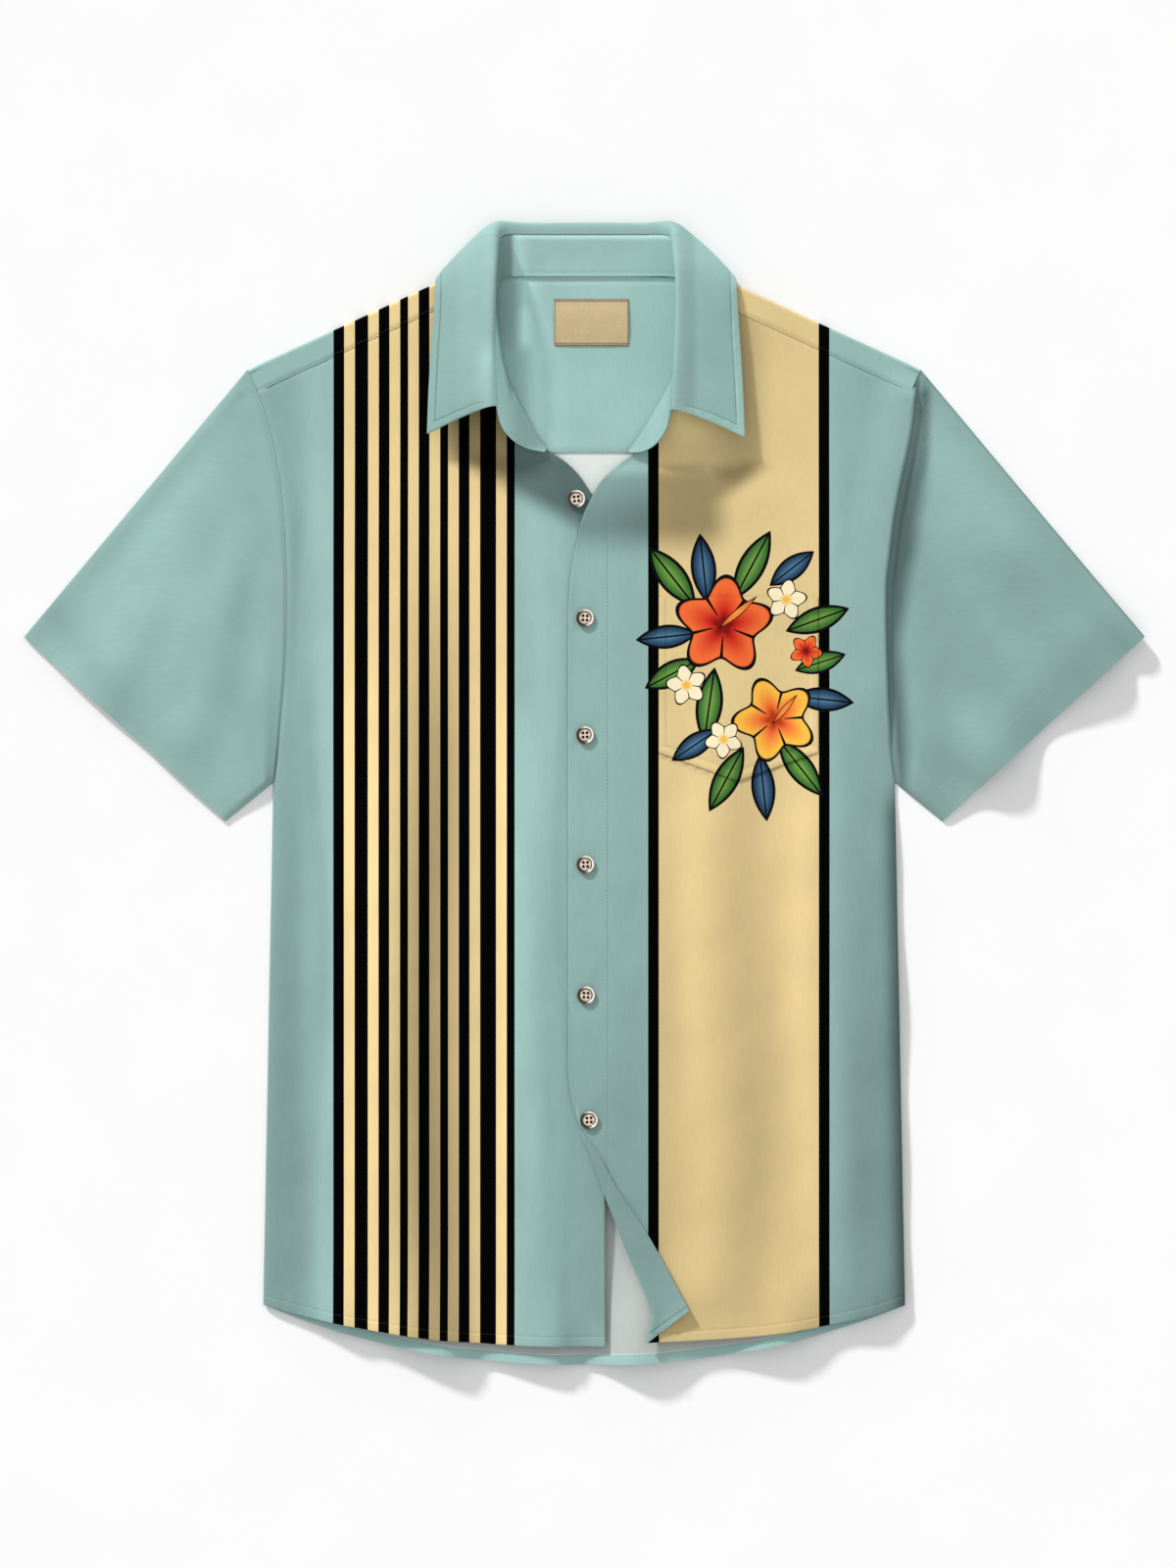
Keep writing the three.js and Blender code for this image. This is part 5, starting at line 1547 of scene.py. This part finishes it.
class SHIRT_OT_buttons(bpy.types.Operator):
    """Six four-hole buttons with their thread"""

    bl_idname = "shirt.buttons"
    bl_label = "Buttons"

    def execute(self, context):
        sewing, cloth = context.scene.shirt_sewing, context.scene.shirt_cloth
        button = self.horn(context.scene.shirt_colours)
        # Real thread in the holes, drawn near black so that it also stands for the shade in the holes.
        thread_and_hole_shade = self.sewn("button_thread", "#070403", "#150D08")
        for k, ((x, y), turn) in enumerate(zip(BUTTONS, BUTTON_TURNS)):
            mid = right_mid if k == 0 else left_mid
            angles = np.linspace(0, 2 * math.pi, 12)
            spots = [(x + BUTTON_REST * math.cos(a), y + BUTTON_REST * math.sin(a)) for a in angles]
            high = max(float(mid(np.float64(a), np.float64(b), cloth)) for a, b in spots)
            at = (x * MM, y * MM, high * MM + cloth.ply / 2 + 0.0001)
            blank = self.blank(sewing, at, turn, f"shirt_button_{k + 1}")
            give(blank, button)
            handed_over(blank, "button_resin", f"button_{k + 1}")
            tie = self.thread(sewing, at, turn, f"button_thread_{k + 1}")
            give(tie, thread_and_hole_shade)
            handed_over(tie, "button_resin")
        return {"FINISHED"}

    @staticmethod
    def set_down(piece, name, turn, at, sharp):
        """Names a piece made at the origin, turns it, moves it to its place and smooths it."""
        piece.name = piece.data.name = name
        only(piece)
        piece.rotation_euler = (0, 0, turn)
        piece.location = at
        apply_place()
        bpy.ops.object.shade_smooth_by_angle(angle=math.radians(sharp))

    @staticmethod
    def step_in(piece, steps):
        """Insets the top of a piece again and again, by widths and rises in millimetres."""
        pick(piece, "FACE", lambda face: face.normal.z > 0.9)
        for width, rise in steps:
            bpy.ops.mesh.inset(thickness=width * MM, depth=rise * MM)

    def blank(self, sewing, at, turn, name):
        radius, thick = sewing.button / 2, sewing.button_thick
        piece = cylinder(48, radius, thick, (0, 0, thick / 2))
        self.step_in(piece, ((0.35, 0), (0.9, 0), (0.45, -0.6), (0.4, -0.2), (0.9, 0.16), (0.9, 0.05)))

        def on_rim(edge):
            a, b = (piece.data.vertices[v].co for v in edge.vertices)
            rim = min(math.hypot(a.x, a.y), math.hypot(b.x, b.y)) > radius * 0.99
            return rim and abs(a.z - b.z) < 1e-6

        pick(piece, "EDGE", on_rim)
        bpy.ops.mesh.bevel(offset=0.42 * MM, segments=3, profile=0.5, affect="EDGES")
        leave_edit()
        drills = [
            cylinder(16, HOLE_RADIUS * MM, thick * 3, (i * sewing.holes, j * sewing.holes, thick / 2))
            for i, j in HOLES
        ]
        for drill in drills:
            apply_modifier(piece, "BOOLEAN", operation="DIFFERENCE", solver="EXACT", object=drill)
            bpy.data.objects.remove(drill)
        self.set_down(piece, name, turn, at, 32)
        while piece.data.uv_layers:
            piece.data.uv_layers.remove(piece.data.uv_layers[0])
        disc = piece.data.uv_layers.new(name="disc")
        for loop, spot in zip(piece.data.loops, disc.data):
            place = piece.data.vertices[loop.vertex_index].co
            spot.uv = (place.x - at[0]) / radius, (place.y - at[1]) / radius
        return piece

    def thread(self, sewing, at, turn, name):
        """The thread drawn down into the four holes, near black so that it also stands for the shade in them.
        """
        parts = []
        for i, j in HOLES:
            part = cylinder(12, PLUG_RADIUS * MM, 0.9 * MM, (i * sewing.holes, j * sewing.holes, 0.6 * MM))
            self.step_in(part, ((0.25, 0.2), (0.3, 0.1)))
            leave_edit()
            parts.append(part)
        only(parts[0])
        for part in parts:
            part.select_set(True)
        bpy.ops.object.join()
        piece = bpy.context.active_object
        self.set_down(piece, name, turn, at, 50)
        return piece

    @staticmethod
    def horn(colours):
        """Polyester button resin cast to look like horn: turned, tumbled and glossy. Its rim has painted
        shade on one side, and on the other side a painted highlight with painted shade in the groove inside
        it."""
        material, tree = new_material("horn_resin")
        spot = add_node(tree, "TexCoord")
        disc = add_node(tree, "UVMap", uv_map="disc")
        reach = add_node(tree, "VectorMath", {0: disc}, operation="LENGTH").outputs["Value"]
        # Painted light and shade by side: the rim is drawn dark on -X and pale on +X.
        lean = add_node(tree, "VectorMath", {0: disc, 1: (0.95, 0.3, 0)}, operation="DOT_PRODUCT")
        side = spread(tree, lean.outputs["Value"], -0.3, 0.3, 0.0, 1.0)
        dish = rgba(colours.horn)
        pale, brown, dark = (rgba(linear(colour)) for colour in ("#F4F0E8", "#66503F", "#150D08"))
        # Painted shade along the -X side of the rim.
        shaded_rim = ramp_node(
            tree, reach, [(0, dish), (0.6, dish), (0.68, brown), (0.75, dark), (0.88, dark), (0.96, brown)]
        )
        # On the +X side: painted shade in the groove inside the rim and a painted highlight on the rim.
        clear = ramp_node(
            tree, reach,
            [(0, dish), (0.58, dish), (0.63, dark), (0.71, dark), (0.77, pale), (0.96, pale), (0.99, brown)],
        )
        rings = mixed(tree, side, shaded_rim, clear)
        noise = {0: spot.outputs["Object"], "Scale": 420.0, "Detail": 3.0, "Distortion": 1.2}
        cloud = add_node(tree, "TexNoise", noise)
        streaks = ramp_node(tree, cloud, [(0.35, rgba((0.72, 0.68, 0.62))), (0.62, rgba((1.08, 1.06, 1.03)))])
        polish = spread(tree, cloud, 0.3, 0.7, 0.2, 0.34)
        finished(
            tree, {"Base Color": mixed(tree, 1.0, rings, streaks, "MULTIPLY"), "Roughness": polish},
            {"IOR": 1.54, "Coat Weight": 0.25, "Coat Roughness": 0.12},
        )
        return material

    @staticmethod
    def sewn(name, dark, light):
        """Polyester button thread: matt, with the turns of its twist."""
        material, tree = new_material(name)
        twist = thread_twist(tree, 900.0, 0.6)
        colour = ramp_node(tree, twist, [(0.2, rgba(linear(dark))), (0.8, rgba(linear(light)))])
        height = twist.outputs["Fac"]
        bump = add_node(tree, "Bump", {"Strength": 0.5, "Distance": 0.08 * MM, "Height": height})
        finished(tree, {"Base Color": colour, "Normal": bump}, {"Roughness": 0.7})
        return material


# These seams are sewn before the print is pressed on, so it colours their thread too.
PRINTED_SEAMS = {
    "stitches_hem_right": "printed_thread", "stitches_hem_left": "printed_thread",
    "stitches_yoke": "printed_thread", "stitches_pocket": "printed_thread_bouquet",
}


class SHIRT_OT_stitching(bpy.types.Operator):
    """Rows of stitches along the hems, seams and edges"""

    bl_idname = "shirt.stitching"
    bl_label = "Stitching"

    def execute(self, context):
        self.sewing = context.scene.shirt_sewing
        colours = context.scene.shirt_colours
        names = ("sewing_thread", "printed_thread", "printed_thread_bouquet")
        threads = {name: self.material(name, colours) for name in names}
        for name, cloth, lines, above, slot in self.seams():
            piece = self.stitches(name, bpy.data.objects[cloth], lines, above)
            give(piece, threads[PRINTED_SEAMS.get(name, "sewing_thread")])
            handed_over(piece, slot)
        return {"FINISHED"}

    @classmethod
    def seams(cls):
        """Each seam's name, the cloth that it lies on, its lines, whether they are on top, and its slot."""
        def across(x0, x1, count, y_at):
            return np.array([(x, float(y_at(x))) for x in np.linspace(x0, x1, count)])

        def hem(table, x0, x1):
            return [across(x0, x1, 200, lambda x: hem_y(x, table) + HEM_DEPTH)]

        def cuff(side):
            ends, inwards = np.array([CUFF_OUTER, CUFF_INNER], float), CUFF_HEM * np.array([-0.675, 0.738])
            shares = np.linspace(0.02, 0.985, 90)[:, None]
            return [(lerp(ends[0], ends[1], shares) + inwards) * np.array([side, 1])]

        def foot(up):
            x0, x1 = POCKET["x0"], POCKET["x1"]
            return across(
                x0 + up * 0.8, x1 - up * 0.8, 60,
                lambda x: lerp(POCKET["tip"], POCKET["side"], abs(2 * (x - x0) / (x1 - x0) - 1)) + up,
            )

        ends = ((-226, -70), (76, 226))
        shoulders = [across(*pair, 90, lambda x: front_yoke_y(x) + YOKE_STITCH) for pair in ends]
        yoke_back = [across(-214, 214, 200, lambda x: BACK_YOKE_Y + YOKE_STITCH)]
        neck = [across(-44, 50, 90, lambda x: BACK_NECK_Y - NECK_STITCH)]
        placket = [np.array([(PLACKET_SEAM_X, y) for y in np.linspace(-270, 200, 100)])]
        in_label = LABEL["height"] / 2 - LABEL_STITCH
        label = [across(-20, 30.4, 40, lambda x: LABEL["y"] + end * in_label) for end in (-1, 1)]
        return [
            ("stitches_hem_right", "front_right_cloth", hem(RIGHT_HEM, -223, 13), True, "shirt_cloth"),
            ("stitches_hem_left", "front_left_cloth", hem(LEFT_HEM, 48, 223), True, "shirt_cloth"),
            ("stitches_hem_back", "back_panel_cloth", hem(BACK_HEM, -223, 223), True, "shirt_cloth"),
            ("stitches_hem_under", "back_panel_cloth", hem(BACK_HEM, -223, 223), False, "shirt_cloth"),
            ("stitches_placket", "front_left_cloth", placket, True, "shirt_cloth"),
            ("stitches_yoke", "yoke_cloth", shoulders, True, "shirt_cloth"),
            ("stitches_yoke_back", "yoke_cloth", yoke_back, False, "shirt_cloth"),
            ("stitches_cuff_right_under", "sleeve_right_cloth", cuff(-1), False, "plain_cloth"),
            ("stitches_cuff_left_under", "sleeve_left_cloth", cuff(1), False, "plain_cloth"),
            ("stitches_pocket", "chest_pocket_cloth", [foot(1.7), foot(6.6)], True, "pocket_cloth"),
            ("stitches_label", "neck_label_weave", label, True, "label_weave"),
            ("stitches_collar", "collar_fall_cloth", cls.collar(), True, "plain_cloth"),
            ("stitches_neck", "yoke_facing_cloth", neck, True, "plain_cloth"),
        ]

    @staticmethod
    def collar():
        """The lines sewn inside the fall's edges: down each front end and along each leaf."""
        points, down, from_edge, _, _ = fall_grid(COLLAR_STEPS)
        flat = points[:, :, :2] + np.array([NECK_X, 0])
        near = FALL_ROWS.index(COLLAR_STITCH)
        lines = [
            flat[(down[:, column] > 9) & (from_edge[:, column] > 5.9), column] for column in (near, -1 - near)
        ]
        bottom = flat[int(np.argmin(np.abs(from_edge[:, 0] - COLLAR_STITCH))), near:-near]
        for side in (-1, 1):
            lines.append(bottom[(side * (bottom[:, 0] - NECK_X) > 80) & (bottom[:, 1] < 352)])
        return lines

    def stitches(self, name, cloth, lines, above):
        """One mesh of short rounded stitches laid on a piece's cloth along flat lines in millimetres."""
        surface = BVHTree.FromObject(cloth, bpy.context.evaluated_depsgraph_get())
        side = 1 if above else -1
        stitch, half = self.sewing.stitch, self.sewing.thread / 2
        shape, shape_faces = self.template()
        points, faces = [], []
        for line in lines:
            length = np.concatenate([[0], np.cumsum(np.linalg.norm(np.diff(line, axis=0), axis=1))])
            for d in np.arange(1.3, length[-1] - 1.3, self.sewing.pitch / MM):
                ends = []
                for e in (d - stitch / MM / 2, d + stitch / MM / 2):
                    x, y = (float(np.interp(e, length, line[:, k])) * MM for k in (0, 1))
                    ends.append(surface.ray_cast(Vector((x, y, 0.1 * side)), Vector((0, 0, -side))))
                (a, normal_a, *_), (b, normal_b, *_) = ends
                if not (a and b) or (a - b).length >= 1.6 * stitch:
                    continue
                lead = (b - a).normalized()
                out = (normal_a + normal_b).normalized().cross(lead).normalized()
                base, middle = len(points), (a + b) / 2
                up = lead.cross(out)
                points += [
                    middle + lead * p * stitch / 2 + out * q * half + up * (r * half) for p, q, r in shape
                ]
                faces += [tuple(base + v for v in face) for face in shape_faces]
        mesh = bpy.data.meshes.new(name)
        mesh.from_pydata([tuple(p) for p in points], [], faces)
        piece = bpy.data.objects.new(name, mesh)
        bpy.context.scene.collection.objects.link(piece)
        only(piece)
        bpy.ops.object.shade_smooth()
        return piece

    @staticmethod
    def template():
        """One stitch, from a ball drawn out along the seam."""
        bpy.ops.object.select_all(action="DESELECT")
        bpy.ops.mesh.primitive_uv_sphere_add(segments=6, ring_count=4, radius=1, rotation=(0, math.pi / 2, 0))
        ball = bpy.context.active_object
        apply_place()
        points = [(math.copysign(abs(v.co.x) ** 0.6, v.co.x), v.co.y, v.co.z) for v in ball.data.vertices]
        faces = [tuple(p.vertices) for p in ball.data.polygons]
        bpy.data.objects.remove(ball)
        return points, faces

    @staticmethod
    def material(name, colours):
        """Spun polyester sewing thread: matched to its ground, with a soft gloss on its twist."""
        material, tree = new_material(name)
        twist = thread_twist(tree, 700.0, 0.8)
        dark, light = rgba(colours.thread, 0.75), rgba(colours.thread, 1.08)
        colour = ramp_node(tree, twist, [(0.1, dark), (0.9, light)])
        if name != "sewing_thread":
            spot = add_node(tree, "TexCoord").outputs["Object"]
            turns = ramp_node(tree, twist, [(0.1, rgba(WHITE, 0.68)), (0.9, rgba(WHITE, 0.86))])
            ground = striped(tree, spot, colours)
            if name == "printed_thread_bouquet":
                ground = bouquet(tree, spot, ground)
            colour = mixed(tree, 1.0, ground, turns, "MULTIPLY")
        finished(tree, {"Base Color": colour}, {"Roughness": 0.55, "Sheen Weight": 0.2})
        return material


class SHIRT_OT_stage(bpy.types.Operator):
    """Pale floor, soft light and a camera straight above"""

    bl_idname = "shirt.stage"
    bl_label = "Stage"

    def execute(self, context):
        stage = context.scene.shirt_stage
        bpy.ops.object.select_all(action="DESELECT")
        bpy.ops.mesh.primitive_grid_add(
            x_subdivisions=stage.steps, y_subdivisions=stage.steps, size=stage.floor, location=(0, 0, 0)
        )
        floor = context.active_object
        floor.name = "floor"
        give(floor, self.board())

        key = bpy.data.lights.new("key", "SUN")
        key.energy = stage.key
        key.angle = math.radians(6)
        lamp = bpy.data.objects.new("key", key)
        rise, side = stage.key_rise, stage.key_side
        lead = Vector((math.cos(rise) * math.cos(side), math.cos(rise) * math.sin(side), math.sin(rise)))
        lamp.rotation_euler = lead.to_track_quat("Z", "Y").to_euler()
        lamp.location = lead * 3
        context.scene.collection.objects.link(lamp)

        world = bpy.data.worlds.new("soft_room")
        world.use_nodes = True
        world.node_tree.nodes.clear()
        light = add_node(world.node_tree, "Background", {0: (1, 1, 1, 1), 1: stage.fill})
        add_node(world.node_tree, "OutputWorld", {0: light})
        context.scene.world = world

        camera = bpy.data.cameras.new("camera")
        camera.lens = stage.lens
        camera.sensor_fit = "VERTICAL"
        camera.sensor_height = 36
        camera.sensor_width = 27
        camera.clip_end = 50
        eye = bpy.data.objects.new("camera", camera)
        eye.location = (2.76 * MM, 6.55 * MM, stage.height)
        context.scene.collection.objects.link(eye)
        context.scene.camera = eye
        context.scene.view_settings.view_transform = "Standard"
        context.scene.view_settings.look = "None"
        return {"FINISHED"}

    @staticmethod
    def board():
        """Matt painted board: almost white, with the faint mottle of a rolled coat."""
        material, tree = new_material("painted_board")
        spot = add_node(tree, "TexCoord")
        mottle = add_node(tree, "TexNoise", {0: spot.outputs["Object"], "Scale": 14.0, "Detail": 4.0})
        colour = ramp_node(tree, mottle, [(0.3, rgba(WHITE, 0.905)), (0.7, rgba(WHITE, 0.915))])
        bump = add_node(tree, "Bump", {"Strength": 0.05, "Distance": 0.2 * MM, "Height": mottle.outputs[0]})
        finished(tree, {"Base Color": colour, "Normal": bump}, {"Roughness": 0.9, "Specular IOR Level": 0.0})
        return material


class SHIRT_PT_panel(bpy.types.Panel):
    """Lists the shirt's pieces and settings"""

    bl_idname = "SHIRT_PT_panel"
    bl_label = "Shirt"
    bl_space_type = "VIEW_3D"
    bl_region_type = "UI"
    bl_category = "Shirt"

    def draw(self, context):
        layout = self.layout
        for step in STEPS:
            layout.operator(step.bl_idname)
        for name in ("shirt_cloth", "shirt_colours", "shirt_sewing", "shirt_stage"):
            group = getattr(context.scene, name)
            box = layout.box()
            for prop in group.bl_rna.properties:
                if prop.identifier not in ("rna_type", "name"):
                    box.prop(group, prop.identifier)


STEPS = (
    SHIRT_OT_stage, SHIRT_OT_back, SHIRT_OT_yoke, SHIRT_OT_fronts, SHIRT_OT_sleeves, SHIRT_OT_collar,
    SHIRT_OT_pocket, SHIRT_OT_label, SHIRT_OT_buttons, SHIRT_OT_stitching,
)
GROUPS = (
    (ShirtCloth, "shirt_cloth"), (ShirtColours, "shirt_colours"), (ShirtSewing, "shirt_sewing"),
    (ShirtStage, "shirt_stage"),
)


def register():
    for group, name in GROUPS:
        bpy.utils.register_class(group)
        setattr(bpy.types.Scene, name, PointerProperty(type=group))
    for kind in (*STEPS, SHIRT_PT_panel):
        bpy.utils.register_class(kind)


def unregister():
    for kind in reversed((*STEPS, SHIRT_PT_panel)):
        bpy.utils.unregister_class(kind)
    for group, name in reversed(GROUPS):
        delattr(bpy.types.Scene, name)
        bpy.utils.unregister_class(group)


def main():
    register()
    bpy.ops.shirt.stage()
    bpy.ops.shirt.back()
    bpy.ops.shirt.yoke()
    bpy.ops.shirt.fronts()
    bpy.ops.shirt.sleeves()
    bpy.ops.shirt.collar()
    bpy.ops.shirt.pocket()
    bpy.ops.shirt.label()
    bpy.ops.shirt.buttons()
    bpy.ops.shirt.stitching()


if __name__ == "__main__":
    main()
